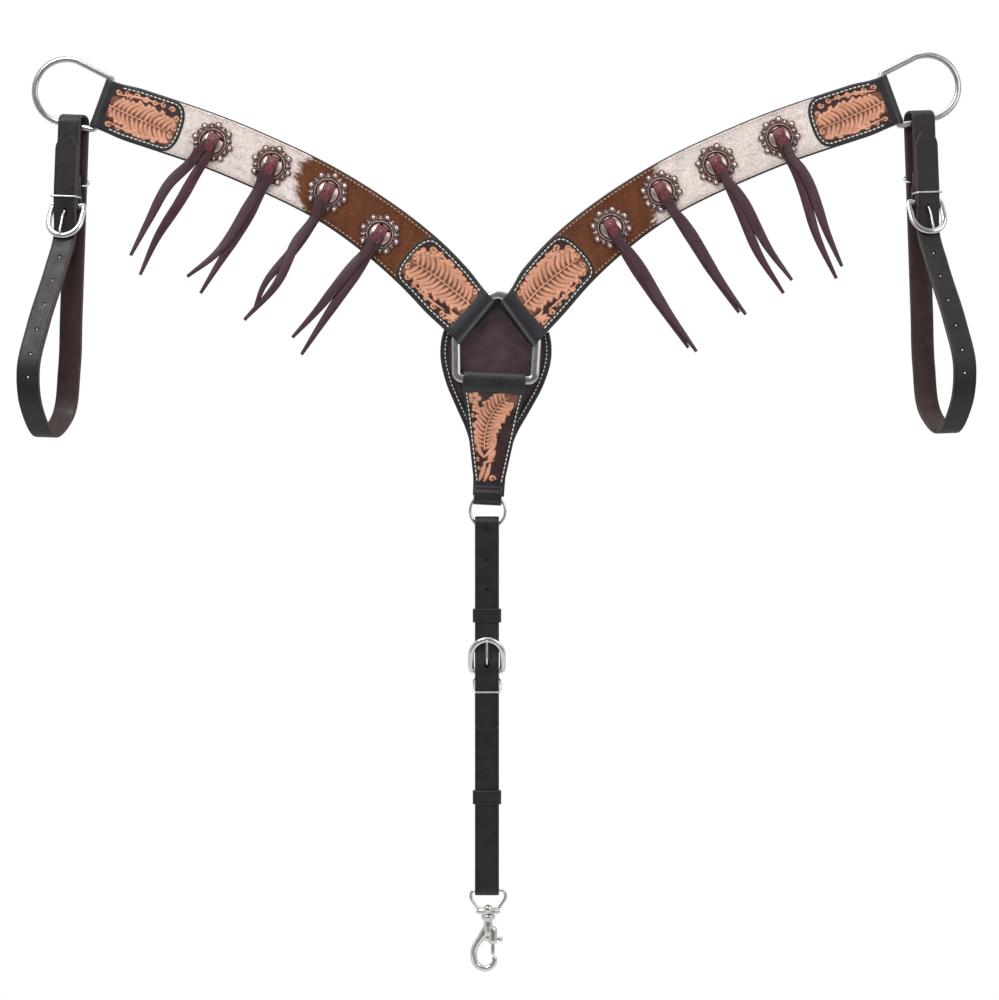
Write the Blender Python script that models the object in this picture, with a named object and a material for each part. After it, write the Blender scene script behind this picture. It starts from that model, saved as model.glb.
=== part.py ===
"""Western breast collar, hanging upright as it is worn: metres, +Z up, the front facing -Y.

The origin is the middle of the centre dee, which joins the two arms and the drop.
"""

import math

import bmesh
import bpy
from mathutils import Matrix, Vector

# ---------------------------------------------------------------- driving dimensions, in metres

GAP = 0.0004  # clearance kept between pieces that touch
SIDES = {"left": -1, "right": 1}

# Collar arms: each middle line runs from the centre dee out to the outer dee; the left one is mirrored.
ARM_WIDTH = 0.0574
ARM_LINES = {
    -1: ((0.0262, 0.0233), (0.083, 0.0835), (0.1628, 0.1440), (0.2678, 0.1960), (0.4121, 0.2470)),
    1: ((0.0262, 0.0233), (0.083, 0.0880), (0.1628, 0.1495), (0.2678, 0.2010), (0.4121, 0.2512)),
}
BASE_FRONT = -0.0025
BASE_BACK = 0.0035
HIDE_THICKNESS = 0.0014
PATCH_THICKNESS = 0.0026
INNER_PATCH_END = 0.0955  # along the arm from its inner end
OUTER_PATCH_END = 0.0865  # along the arm from its outer end
DEE_BLEND = 0.0240  # how far the fold at the centre dee tapers into the flat leather
OUTER_BLEND = 0.0165

# Centre dee: five straight runs of flat wire with rounded corners.
DEE_APEX_Z = 0.0571
DEE_SHOULDER = (0.0426, 0.0020)
DEE_FOOT = (0.0410, -0.0415)
DEE_CORNERS = (0.0148, 0.0100, 0.0070)  # corner radii: apex, shoulder, foot
DEE_WIRE = (0.0046, 0.00225)  # half width in its plane, half thickness

DEE_BORE = 0.0054
DEE_FOLD = 0.0080
DROP_BORE = 0.0060
ARM_TUNNEL = (0.0200, 0.0662)  # the fold's reach along the dee's slanted run, from the apex corner

# Outer dees: a straight bar, two legs and a round bow.
OUTER_TILT = math.radians(20)
OUTER_BAR = 0.0285
OUTER_CORNER = 0.0050
OUTER_BOW = 0.0336
OUTER_REACH = 0.0417
OUTER_WIRE = (0.0032, 0.0022)
OUTER_BORE = 0.0043
OUTER_FOLD = 0.0067
OUTER_TUNNEL = 0.0225

# Drop: the spade plate and the tooled patch, hanging 3 degrees off plumb.
DROP_LEAN = math.radians(3)
PLATE_FRONT = 0.0086
PLATE_THICKNESS = 0.0034
PLATE_SIDE = ((0.0580, 0.0010), (0.0585, -0.0170), (0.0520, -0.0440), (0.0390, -0.0720),
              (0.0262, -0.0980), (0.0190, -0.1250), (0.0168, -0.1500), (0.0165, -0.1640))
PLATE_SHOULDER = (0.0395, -0.0125)
PLATE_NECK_APEX = 0.0440
DROP_TUNNEL = 0.0325
PATCH_TOP = (0.0320, -0.0500)
PATCH_FOOT = (0.0150, -0.1560)

# Lower ring and the drop's bottom fold.
RING_X = -0.0093
RING_Z = -0.1795
RING_RADIUS = 0.0184
RING_WIRE = 0.00155
RING_PIVOT = 0.0130  # height of either leather fold's axis from the ring's middle
RING_POCKET = 0.0047
RING_POCKET_RISE = 0.0078
RING_LEATHER = 0.0022
RING_TUNNEL = 0.0134

# Straps.
STRAP_WIDTH = 0.0254
STRAP_THICKNESS = 0.0028
LAYER = STRAP_THICKNESS + GAP
HOLE_RADIUS = 0.0021

# Girth strap: one doubled strap from the lower ring to the snap.
GIRTH_X = -0.0100
GIRTH_HEEL_Z = -0.3475
GIRTH_TIP_Z = -0.4150
GIRTH_FOOT_Z = -0.5780
GIRTH_HOLES = (-0.1995, -0.2310, -0.2625)
GIRTH_EYE_BORE = 0.0023
KEEPER_HEIGHT = 0.0145
KEEPER_LEATHER = 0.0018
KEEPERS = {"upper": -0.2893, "lower": -0.4800}

# Tug straps: one doubled strap in each outer dee.
TUG_ALONG = 0.0225  # where the strap sits along the dee's lower leg, from the bar
TUG_LEAN = math.radians(2)
TUG_WIDTH = 0.0236
TUG_SKEW = 0.48  # sideways drift of the strap for each unit of depth
TUG_POCKET = 0.0056
TUG_HEEL_Z = -0.0840
TUG_TIP_Z = -0.0120
TUG_HOLES = (-0.140, -0.165, -0.191, -0.218, -0.2440, -0.2680)

# Buckles: a horseshoe frame on a heel bar, shared by the girth strap and the tugs.
BUCKLE_HALF_WIDTH = 0.0162
BUCKLE_LENGTH = 0.0345
BUCKLE_WIRE = 0.0019
HEEL_WIRE = 0.0015
TONGUE_WIRE = 0.0012
CHAPE_BEND = HEEL_WIRE + GAP + STRAP_THICKNESS / 2
GIRTH_BAR = -0.0018  # depth of the girth buckle's heel bar
TUG_BAR = CHAPE_BEND - TUG_POCKET - STRAP_THICKNESS / 2
TONGUE_SLOT = 0.0028
KEEPER_WIRE = 0.0010

# Conchos and strings: the middle of each concho, and its string's two tips.
CONCHO_RADIUS = 0.0226
CONCHO_BACK = BASE_FRONT - HIDE_THICKNESS - 2 * GAP
CONCHO_HEIGHT = 0.0062
CONCHO_STRINGS = {
    "left": (((-0.2977, 0.2069), (-0.3838, 0.0882), (-0.3743, 0.0683)),
             ((-0.2357, 0.1827), (-0.3239, 0.0651), (-0.3092, 0.0483)),
             ((-0.1769, 0.1544), (-0.2650, 0.0220), (-0.2500, 0.0520)),
             ((-0.1223, 0.1103), (-0.2137, 0.0021), (-0.2042, -0.0158))),
    "right": (((0.2966, 0.2121), (0.3617, 0.0746), (0.3570, 0.0636)),
              ((0.2305, 0.1838), (0.3092, 0.0599), (0.3019, 0.0483)),
              ((0.1727, 0.1554), (0.2599, 0.0252), (0.2550, 0.0290)),
              ((0.1202, 0.1176), (0.2084, -0.0116), (0.2000, -0.0095))),
}
STRING_WIDTH = 0.0125
STRING_THICKNESS = 0.0022
STRING_FRONT = CONCHO_BACK - CONCHO_HEIGHT - GAP - STRING_THICKNESS
STRING_TIP = 0.0038
TIP_SPREAD = 0.0085  # least distance between a string's two tips

# Snap: a swivel eye, a hook with a sliding bolt, and the bolt's spring.
SNAP_X = -0.0088
EYE_WIRE = 0.0019
EYE_SIDE = ((0.0180, 0.0), (0.0182, -0.0085), (0.0105, -0.0195))
EYE_BASE_Z = -0.6000
EYE_BASE = (0.0125, 0.0036, 0.0026)
HOOK_TOP_Z = -0.6031
HOOK_WIRE = 0.0034
HOOK_LINE = ((0.0, -0.620), (-0.0085, -0.6290), (-0.0150, -0.6420), (-0.0120, -0.6560),
             (-0.0020, -0.6600), (0.0060, -0.6545), (0.0066, -0.6463))
BOLT_X = 0.0050
BOLT_RADIUS = 0.0021
BOLT_FOOT_Z = -0.6455
BOLT_TOP_Z = -0.6265
BOLT_TRAVEL = 0.0050
HOUSING_RADIUS = 0.0046
HOUSING_Z = (-0.6150, -0.6340)
BORE_TOP_Z = -0.6180
LEVER_Z = -0.6290
SPRING_TURNS = 4
SPRING_RADIUS = 0.0014
SPRING_WIRE = 0.0003

FINISHES = {
    "black_leather": ((0.030, 0.028, 0.032), 0.42, 0.0),
    "strap_leather": ((0.036, 0.026, 0.026), 0.40, 0.0),
    "tooled_leather": ((0.640, 0.320, 0.150), 0.45, 0.0),
    "hair_hide": ((0.660, 0.600, 0.560), 0.80, 0.0),
    "latigo": ((0.080, 0.024, 0.032), 0.50, 0.0),
    "copper": ((0.300, 0.190, 0.170), 0.35, 1.0),
    "dee_steel": ((0.450, 0.450, 0.450), 0.35, 1.0),
    "nickel": ((0.640, 0.630, 0.610), 0.22, 1.0),
}


# ---------------------------------------------------------------- scene, objects and materials


def clear_scene():
    for obj in list(bpy.data.objects):
        bpy.data.objects.remove(obj, do_unlink=True)


def new_collection(name):
    collection = bpy.data.collections.new(name)
    bpy.context.scene.collection.children.link(collection)
    return collection


def make_material(name, color, roughness, metallic):
    material = bpy.data.materials.new(name)
    material.use_nodes = True
    shader = material.node_tree.nodes["Principled BSDF"]
    shader.inputs["Base Color"].default_value = (*color, 1.0)
    shader.inputs["Roughness"].default_value = roughness
    shader.inputs["Metallic"].default_value = metallic
    return material


def finish(obj, material, sharp=35):
    """Gives a part its material, its place in the collection, and smooth round faces."""
    obj.data.materials.clear()
    obj.data.materials.append(MATERIALS[material])
    obj.data.shade_smooth()
    obj.data.set_sharp_from_angle(angle=math.radians(sharp))
    return obj


def rehang(obj, pivot):
    """Moves a mesh's origin to a joint's axis without moving the mesh."""
    obj.data.transform(obj.matrix_world)
    obj.data.transform(Matrix.Translation(-Vector(pivot)))
    obj.matrix_world = Matrix.Translation(Vector(pivot))
    return obj


# ---------------------------------------------------------------- planar paths


def arc(centre, radius, start, end, steps):
    """Points on an arc, from start to end in degrees."""
    angles = (math.radians(start + (end - start) * i / steps) for i in range(steps + 1))
    return [(centre[0] + radius * math.cos(a), centre[1] + radius * math.sin(a)) for a in angles]


def rounded(corners, radii, closed=True, steps=6):
    """A polygon whose corners are replaced by arcs of the given radii."""
    points = []
    count = len(corners)
    for i, radius in enumerate(radii):
        here = Vector(corners[i])
        if not closed and i in (0, count - 1):
            points.append(tuple(here))
            continue
        back = (Vector(corners[i - 1]) - here).normalized()
        on = (Vector(corners[(i + 1) % count]) - here).normalized()
        half = back.angle(on) / 2
        if math.cos(half) < 0.005:
            points.append(tuple(here))
            continue
        middle = here + (back + on).normalized() * (radius / math.sin(half))
        first = here + back * (radius / math.tan(half)) - middle
        turn = math.copysign(math.pi - 2 * half, on.cross(back))
        for k in range(steps + 1):
            points.append(tuple(middle + Matrix.Rotation(turn * k / steps, 2) @ first))
    return points


def smooth(points, steps=8):
    """An even curve through the points, whatever their spacing."""
    line = [Vector(p) for p in points]
    line = [2 * line[0] - line[1], *line, 2 * line[-1] - line[-2]]
    out = []
    for a, b, c, d in zip(line, line[1:], line[2:], line[3:]):
        before, here, after = (b - a).length, (c - b).length, (d - c).length
        leave = ((b - a) * here / before + (c - b) * before / here) * here / (before + here)
        arrive = ((c - b) * after / here + (d - c) * here / after) * here / (here + after)
        for i in range(steps):
            t = i / steps
            out.append(b * (1 + 2 * t) * (1 - t) ** 2 + c * t**2 * (3 - 2 * t)
                       + leave * t * (1 - t) ** 2 - arrive * t**2 * (1 - t))
    return [tuple(p) for p in (*out, line[-2])]


def bent(points, radius=0.020):
    """Straight runs through the points, each bend eased as far as its shorter run allows."""
    radii = [0.0]
    for a, b, c in zip(points, points[1:], points[2:]):
        back, on = Vector(a) - Vector(b), Vector(c) - Vector(b)
        room = min(back.length, on.length) * 0.45
        radii.append(min(radius, room * math.tan(back.angle(on) / 2)))
    return rounded(points, (*radii, 0.0), closed=False, steps=3)


def offset(path, distance):
    """The path moved sideways, to its left."""
    moved = []
    for i, point in enumerate(path):
        before = Vector(path[max(i - 1, 0)])
        after = Vector(path[min(i + 1, len(path) - 1)])
        along = (after - before).normalized()
        moved.append((point[0] - along.y * distance, point[1] + along.x * distance))
    return moved


def ribbon(path, thickness):
    return offset(path, thickness / 2) + offset(path, -thickness / 2)[::-1]


def mirrored(half):
    """A closed outline from its half at positive x, listed from top to bottom."""
    return list(half) + [(-x, z) for x, z in reversed(half)]


# ---------------------------------------------------------------- solids


FACING_FRONT = Matrix(((1, 0, 0, 0), (0, 0, -1, 0), (0, 1, 0, 0), (0, 0, 0, 1)))
FACING_SIDE = Matrix(((0, 0, 1, 0), (1, 0, 0, 0), (0, 1, 0, 0), (0, 0, 0, 1)))


def as_mesh(curve_obj):
    """The mesh of a curve object, with its caps welded, in place of the curve."""
    graph = bpy.context.evaluated_depsgraph_get()
    mesh = bpy.data.meshes.new_from_object(curve_obj.evaluated_get(graph))
    work = bmesh.new()
    work.from_mesh(mesh)
    bmesh.ops.remove_doubles(work, verts=work.verts, dist=1e-6)
    bmesh.ops.recalc_face_normals(work, faces=work.faces)
    work.to_mesh(mesh)
    work.free()
    name = curve_obj.name
    matrix = curve_obj.matrix_world.copy()
    home = curve_obj.users_collection[0]
    bpy.data.objects.remove(curve_obj)
    mesh.transform(matrix)
    obj = bpy.data.objects.new(name, mesh)
    home.objects.link(obj)
    return obj


def curve_object(name, loops, closed, dimensions, home):
    curve = bpy.data.curves.new(name, "CURVE")
    curve.dimensions = dimensions
    for loop in loops:
        spline = curve.splines.new("POLY")
        spline.points.add(len(loop) - 1)
        for point, at in zip(spline.points, loop):
            point.co = (*at, 0.0, 1.0)[:4] if len(at) == 2 else (*at, 1.0)
        spline.use_cyclic_u = closed
    obj = bpy.data.objects.new(name, curve)
    home.objects.link(obj)
    return obj


def flat_solid(name, loops, thickness, matrix, home=None):
    """A flat outline, with any holes as further loops, given a thickness about its plane."""
    obj = curve_object(name, loops, True, "2D", home or PARTS)
    obj.data.fill_mode = "BOTH"
    obj.data.extrude = thickness / 2
    obj.matrix_world = matrix
    bpy.context.view_layer.update()
    return as_mesh(obj)


def sheet(name, outline, front, back, lean=0.0, home=None):
    """A flat piece of leather standing in the XZ plane between two depths."""
    place = Matrix.Rotation(lean, 4, "Y") @ Matrix.Translation((0, (front + back) / 2, 0))
    return flat_solid(name, [outline], back - front, place @ FACING_FRONT, home)


def tube(name, points, radius, closed=False, squash=None, home=None, fine=False):
    """A round wire along points, flattened to the half thickness that squash gives in Y."""
    obj = curve_object(name, [points], closed, "3D", home or PARTS)
    obj.data.bevel_depth = radius
    obj.data.bevel_resolution = 2 if fine else 1
    obj.data.use_fill_caps = True
    bpy.context.view_layer.update()
    obj = as_mesh(obj)
    if squash:
        obj.data.transform(Matrix.Scale(squash / radius, 4, (0, 1, 0)))
    return obj


def cylinder(name, radius, start, end, sides=24, home=None):
    """A solid cylinder between two points."""
    start, end = Vector(start), Vector(end)
    span = end - start
    work = bmesh.new()
    bmesh.ops.create_cone(work, cap_ends=True, segments=sides, radius1=radius, radius2=radius,
                          depth=span.length)
    turn = span.to_track_quat("Z", "Y").to_matrix().to_4x4()
    work.transform(Matrix.Translation((start + end) / 2) @ turn)
    return from_bmesh(name, work, home)


def block(name, size, centre, home=None):
    work = bmesh.new()
    bmesh.ops.create_cube(work, size=1.0)
    work.transform(Matrix.Translation(centre) @ Matrix.Diagonal((*size, 1)))
    return from_bmesh(name, work, home)


def ball(name, radius, centre, home=None):
    work = bmesh.new()
    bmesh.ops.create_uvsphere(work, u_segments=14, v_segments=8, radius=radius)
    work.transform(Matrix.Translation(centre))
    return from_bmesh(name, work, home)


def from_bmesh(name, work, home):
    mesh = bpy.data.meshes.new(name)
    work.to_mesh(mesh)
    work.free()
    obj = bpy.data.objects.new(name, mesh)
    (home or PARTS).objects.link(obj)
    return obj


def combine(obj, other, operation):
    """Joins or cuts with a helper, which is left in the cutters' collection."""
    other.hide_render = True
    other.display_type = "WIRE"
    modifier = obj.modifiers.new(other.name, "BOOLEAN")
    modifier.operation = operation
    modifier.object = other
    modifier.solver = "EXACT"
    return obj


def baked(obj):
    """Applies an object's modifiers, so that its mesh can be moved or reused."""
    bpy.context.view_layer.update()
    graph = bpy.context.evaluated_depsgraph_get()
    mesh = bpy.data.meshes.new_from_object(obj.evaluated_get(graph))
    mesh.transform(obj.matrix_world)
    obj.modifiers.clear()
    obj.matrix_world = Matrix()
    obj.data = mesh
    return obj


def moved(obj, matrix):
    obj.data.transform(matrix)
    return obj


# ---------------------------------------------------------------- centre dee


def dee_corners():
    half = [DEE_SHOULDER, DEE_FOOT]
    return [(0.0, DEE_APEX_Z), *half, *[(-x, z) for x, z in reversed(half)]]


def make_center_dee():
    apex, shoulder, foot = DEE_CORNERS
    line = rounded(dee_corners(), (apex, shoulder, foot, foot, shoulder))
    points = [(x, 0.0, z) for x, z in line]
    obj = tube("center_dee", points, DEE_WIRE[0], closed=True, squash=DEE_WIRE[1], fine=True)
    moved(obj, Matrix.Rotation(DROP_LEAN / 2, 4, "Y"))
    return finish(obj, "dee_steel")


def dee_run(side):
    """The slanted run an arm folds over: its apex corner, the way along it and the way out."""
    apex = Vector((0.0, 0.0, DEE_APEX_Z))
    shoulder = Vector((side * DEE_SHOULDER[0], 0.0, DEE_SHOULDER[1]))
    along = (shoulder - apex).normalized()
    outward = Vector((-along.z * side, 0.0, along.x * side))
    turn = Matrix.Rotation(DROP_LEAN / 2, 3, "Y")
    return turn @ apex, turn @ along, turn @ outward


# ---------------------------------------------------------------- arms


def arm_line(side, steps=10):
    return [(side * x, z) for x, z in smooth(ARM_LINES[side], steps)]


def fold_loop(fold, bore, blend):
    """The section of a leather fold round a wire: a teardrop, and the hole for the wire."""
    lift = math.degrees(math.asin((fold - BASE_BACK) / blend))
    drop = math.degrees(math.asin((fold + BASE_FRONT) / blend))
    outer = [(blend, BASE_FRONT + GAP / 2), (blend, BASE_BACK - GAP / 2)]
    outer += arc((0, 0), fold, 90 - lift, 270 + drop, 20)
    return outer, arc((0, 0), bore, 0, 342, 19)


def place_fold(name, centre, outward, length, bore, fold, blend):
    """A fold about an axis in the XZ plane, opening towards outward."""
    depth = Vector((0, 1, 0))
    axis = outward.cross(depth)
    matrix = Matrix((outward, depth, axis)).transposed().to_4x4()
    matrix.translation = centre
    return flat_solid(name, list(fold_loop(fold, bore, blend)), length, matrix, CUTTERS)


def cut_line(outline, at, outward):
    """The part of an outline that lies beyond a line through at, towards outward."""
    kept = []
    for a, b in zip(outline, outline[1:] + outline[:1]):
        da = (Vector((a[0], 0, a[1])) - at).dot(outward)
        db = (Vector((b[0], 0, b[1])) - at).dot(outward)
        if da >= 0:
            kept.append(a)
        if da * db < 0:
            t = da / (da - db)
            kept.append((a[0] + (b[0] - a[0]) * t, a[1] + (b[1] - a[1]) * t))
    return kept


def outer_frame(side):
    """The outer dee's bar: its middle, the way out to the bow and the way up the bar."""
    x, z = ARM_LINES[side][-1]
    middle = Vector((side * x, 0.0, z))
    outward = Vector((side * math.cos(OUTER_TILT), 0.0, math.sin(OUTER_TILT)))
    up = Vector((-side * math.sin(OUTER_TILT), 0.0, math.cos(OUTER_TILT)))
    return middle, outward, up


def band(side, first, last, half_width, steps=10):
    """The arm's outline between two distances from its ends, measured along its middle line."""
    line = [Vector(p) for p in arm_line(side, steps)]
    ends = [0.0]
    for a, b in zip(line, line[1:]):
        ends.append(ends[-1] + (b - a).length)
    low, high = first, ends[-1] - last
    path = [tuple(p) for p, s in zip(line, ends) if low < s < high]
    for limit, at in ((low, 0), (high, len(path) + 1)):
        i = max(k for k in range(len(ends) - 1) if ends[k] <= limit + 1e-9)
        t = (limit - ends[i]) / (ends[i + 1] - ends[i])
        path.insert(at, tuple(line[i].lerp(line[i + 1], t)))
    return ribbon(path, 2 * half_width)


def make_arm_base(word, side):
    apex, along, outward = dee_run(side)
    middle, outer_way, _ = outer_frame(side)
    inner_at = apex + along * (sum(ARM_TUNNEL) / 2)
    outline = cut_line(long_band(side), inner_at + outward * (DEE_BORE + 0.003), outward)
    outline = cut_line(outline, middle - outer_way * (OUTER_BORE + 0.002), -outer_way)
    base = sheet(f"{word}_arm_base", outline, BASE_FRONT, BASE_BACK)
    inner = place_fold(f"{word}_inner_fold", inner_at, outward, ARM_TUNNEL[1] - ARM_TUNNEL[0],
                       DEE_BORE, DEE_FOLD, DEE_BLEND)
    outer = place_fold(f"{word}_outer_fold", middle, -outer_way, 2 * OUTER_TUNNEL,
                       OUTER_BORE, OUTER_FOLD, OUTER_BLEND)
    combine(base, inner, "UNION")
    combine(base, outer, "UNION")
    return finish(rehang(baked(base), inner_at), "black_leather")


def long_band(side):
    """The arm's full width, run on a little past both folds."""
    line = arm_line(side)
    first = Vector(line[0]) * 2 - Vector(line[1])
    last = Vector(line[-1]) * 2 - Vector(line[-2])
    return ribbon([tuple(first), *line, tuple(last)], ARM_WIDTH)


def make_hide(word, side):
    outline = band(side, INNER_PATCH_END + 0.002, OUTER_PATCH_END + 0.002, ARM_WIDTH / 2 - 0.0016)
    back = BASE_FRONT - GAP
    obj = sheet(f"{word}_hide_overlay", outline, back - HIDE_THICKNESS, back)
    return finish(rehang(obj, dee_run(side)[0]), "hair_hide")


def make_patch(word, side, at_dee):
    """A tooled patch, square at the fold and round at its other end."""
    total = band_length(side)
    start = 0.004 if at_dee else total - OUTER_PATCH_END
    end = INNER_PATCH_END if at_dee else total - 0.004
    body = band(side, start, total - end, ARM_WIDTH / 2 - 0.0012, 16)
    half = len(body) // 2
    upper, lower = body[:half], body[half:][::-1]
    if at_dee:
        upper, lower = upper[::-1], lower[::-1]
    outline = round_end(upper, lower)
    if at_dee:
        apex, along, outward = dee_run(side)
        edge = apex + along * (sum(ARM_TUNNEL) / 2) + outward * (DEE_BLEND + GAP)
        outline = cut_line(outline, edge, outward)
    else:
        middle, outward, _ = outer_frame(side)
        outline = cut_line(outline, middle - outward * (OUTER_BLEND + GAP), -outward)
    back = BASE_FRONT - GAP
    place = "inner" if at_dee else "outer"
    obj = sheet(f"{word}_{place}_patch", outline, back - PATCH_THICKNESS, back)
    return finish(rehang(obj, dee_run(side)[0]), "tooled_leather")


def round_end(upper, lower):
    """Closes two edges with a bowed end at their first points and a square end at their last."""
    corner = 0.012
    inset_up = next(i for i, p in enumerate(upper) if (Vector(p) - Vector(upper[0])).length > corner)
    inset_low = next(i for i, p in enumerate(lower) if (Vector(p) - Vector(lower[0])).length > corner)
    a, b = Vector(upper[inset_up]), Vector(lower[inset_low])
    tip_a, tip_b = Vector(upper[0]), Vector(lower[0])
    ends = [a.lerp(tip_a, 0.5), tip_a.lerp(tip_b, 0.22), tip_a.lerp(tip_b, 0.5),
            tip_a.lerp(tip_b, 0.78), b.lerp(tip_b, 0.5)]
    bow = smooth([tuple(a), *[tuple(p) for p in ends], tuple(b)], 3)
    return bow + lower[inset_low + 1:] + upper[inset_up + 1:][::-1]


def band_length(side):
    line = [Vector(p) for p in arm_line(side, 10)]
    return sum((b - a).length for a, b in zip(line, line[1:]))


# ---------------------------------------------------------------- outer dees


def make_outer_dee(word, side):
    bow = arc((OUTER_REACH, 0), OUTER_BOW, 90, -90, 18)
    bar = rounded([bow[-1], (0, -OUTER_BAR), (0, OUTER_BAR), bow[0]],
                  (0, OUTER_CORNER, OUTER_CORNER, 0), closed=False, steps=5)
    middle, outward, up = outer_frame(side)
    points = [middle + outward * u + up * v for u, v in bow + bar[1:-1]]
    obj = tube(f"{word}_outer_dee", [tuple(p) for p in points], OUTER_WIRE[0], closed=True,
               squash=OUTER_WIRE[1], fine=True)
    return finish(rehang(obj, middle), "dee_steel")


def tug_pivot(side):
    """The middle of the wire where the tug strap hangs on the dee's lower leg."""
    middle, outward, up = outer_frame(side)
    leg = OUTER_BAR + (OUTER_BOW - OUTER_BAR) * TUG_ALONG / OUTER_REACH
    return middle + outward * TUG_ALONG - up * leg


# ---------------------------------------------------------------- drop


def make_spade_plate():
    half = [(0.0, PLATE_NECK_APEX), PLATE_SHOULDER, *smooth(PLATE_SIDE, 3)]
    outline = half + [(-x, z) for x, z in reversed(half[1:])]
    obj = sheet("spade_plate", outline, PLATE_FRONT, PLATE_FRONT + PLATE_THICKNESS, DROP_LEAN)
    return finish(rehang(obj, drop_axis()), "strap_leather")


def drop_axis():
    return Matrix.Rotation(DROP_LEAN, 3, "Y") @ Vector((0, 0, DEE_FOOT[1]))


def drop_profile():
    """Side section of the patch: round the dee's bar, down in front of the plate."""
    top = DEE_FOOT[1]
    front = PLATE_FRONT - GAP
    outer = arc((0, top), DEE_FOLD, 0, 180, 14)
    outer += [(-DEE_FOLD, top - 0.006), (front - PATCH_THICKNESS - 0.0040, top - 0.024),
              (front - PATCH_THICKNESS, top - 0.040), (front - PATCH_THICKNESS, PATCH_FOOT[1]),
              (front, PATCH_FOOT[1]), (front, top - 0.006)]
    return outer, arc((0, top), DROP_BORE, 0, 342, 19)


def make_drop_patch():
    """The tooled patch with its top fold round the dee and its bottom fold round the ring."""
    lean = Matrix.Rotation(DROP_LEAN, 4, "Y")
    obj = flat_solid("drop_patch", list(drop_profile()), 2 * DROP_TUNNEL, FACING_SIDE)
    taper = [(DROP_TUNNEL, 0.0), (DROP_TUNNEL, -0.0495), PATCH_TOP, PATCH_FOOT, (0.015, -0.17)]
    width = sheet("drop_patch_width", mirrored(taper), -0.02, 0.02, home=CUTTERS)
    combine(obj, width, "INTERSECT")
    fold = ring_fold()
    combine(obj, fold, "UNION")
    obj = baked(obj)
    moved(obj, lean)
    return finish(rehang(obj, drop_axis()), "tooled_leather")


def ring_fold():
    """The drop's bottom fold: a deep pocket that lets the round ring swing."""
    pivot = ring_top_pivot_unleaned()
    wall = RING_POCKET + RING_LEATHER
    rise = RING_POCKET_RISE
    front = PLATE_FRONT - GAP
    top = PATCH_FOOT[1] + 0.004
    outer = arc((0, pivot), wall, 180, 360, 14)
    outer += [(wall, pivot + rise - 0.002), (front, pivot + rise + 0.003), (front, top),
              (front - PATCH_THICKNESS, top), (-wall, pivot + rise)]
    pocket = arc((0, pivot), RING_POCKET, 180, 360, 14)
    pocket += arc((0, pivot + rise - RING_POCKET), RING_POCKET, 0, 180, 14)
    matrix = Matrix.Translation((ring_shift(), 0, 0)) @ FACING_SIDE
    return flat_solid("drop_ring_fold", [outer, pocket], 2 * RING_TUNNEL, matrix, CUTTERS)


def ring_top_pivot():
    return Vector((RING_X, 0.0, RING_Z + RING_PIVOT))


def ring_shift():
    """Sideways place of the ring in the drop's own upright frame."""
    return (Matrix.Rotation(-DROP_LEAN, 3, "Y") @ ring_top_pivot()).x


def ring_top_pivot_unleaned():
    return (Matrix.Rotation(-DROP_LEAN, 3, "Y") @ ring_top_pivot()).z


def make_lower_ring():
    points = [(RING_X + x, 0.0, RING_Z + z) for x, z in arc((0, 0), RING_RADIUS, 0, 348, 29)]
    obj = tube("lower_ring", points, RING_WIRE, closed=True)
    return finish(rehang(obj, ring_top_pivot()), "nickel")


# ---------------------------------------------------------------- straps and buckles


def girth_path():
    """Middle line of the girth strap, as (depth, height), from the billet's tip to the chape's end."""
    heel = GIRTH_HEEL_Z
    fold = RING_POCKET + STRAP_THICKNESS / 2
    top = RING_Z - RING_PIVOT
    foot = GIRTH_FOOT_Z
    eye = GIRTH_EYE_BORE + STRAP_THICKNESS / 2
    near = LAYER / 2 + 0.0002
    over = GIRTH_BAR - CHAPE_BEND - LAYER
    front = [(-near - LAYER - 0.0002, GIRTH_TIP_Z), (-near - LAYER - 0.0002, GIRTH_TIP_Z + 0.020),
             (-2 * LAYER - 0.0003, heel - 0.030), (-2 * LAYER - 0.0003, heel - 0.017),
             (over - 0.0001, heel - 0.004), (over - 0.0001, heel + 0.006),
             (-0.0048, heel + 0.021), (-0.0045, heel + 0.032), (-near, heel + 0.052),
             (-near, top - 0.045),
             (-near - 0.0008, top - 0.025), (-fold, top - 0.006), (-fold, top)]
    line = bent(front)[:-1] + arc((0, top), fold, 180, 0, 14)
    behind = [(fold, top), (fold, top - 0.006), (near + 0.0008, top - 0.025), (near, top - 0.045),
              (near, heel + 0.045), (GIRTH_BAR + CHAPE_BEND + LAYER + 0.0002, heel + 0.004),
             (GIRTH_BAR + CHAPE_BEND + LAYER + 0.0002, heel - 0.005),
              (LAYER + 0.0003, heel - 0.018), (LAYER + 0.0003, heel - 0.028),
              (near, heel - 0.047), (near, foot + 0.030), (eye, foot + 0.006), (eye, foot)]
    line += bent(behind)[1:-1] + arc((0, foot), eye, 0, -180, 12)
    chape = [(-eye, foot), (-eye, foot + 0.006), (-near, foot + 0.030), (-near, heel - 0.047),
             (-LAYER - 0.0003, heel - 0.029), (-LAYER - 0.0003, heel - 0.018),
             (GIRTH_BAR - CHAPE_BEND, heel - 0.003), (GIRTH_BAR - CHAPE_BEND, heel)]
    line += bent(chape)[1:-1] + arc((GIRTH_BAR, heel), CHAPE_BEND, 180, 0, 12)
    end = [(GIRTH_BAR + CHAPE_BEND, heel), (GIRTH_BAR + CHAPE_BEND, heel - 0.005),
           (0.0, heel - 0.018), (0.0, heel - 0.027)]
    return line[:-1] + bent(end)


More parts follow.
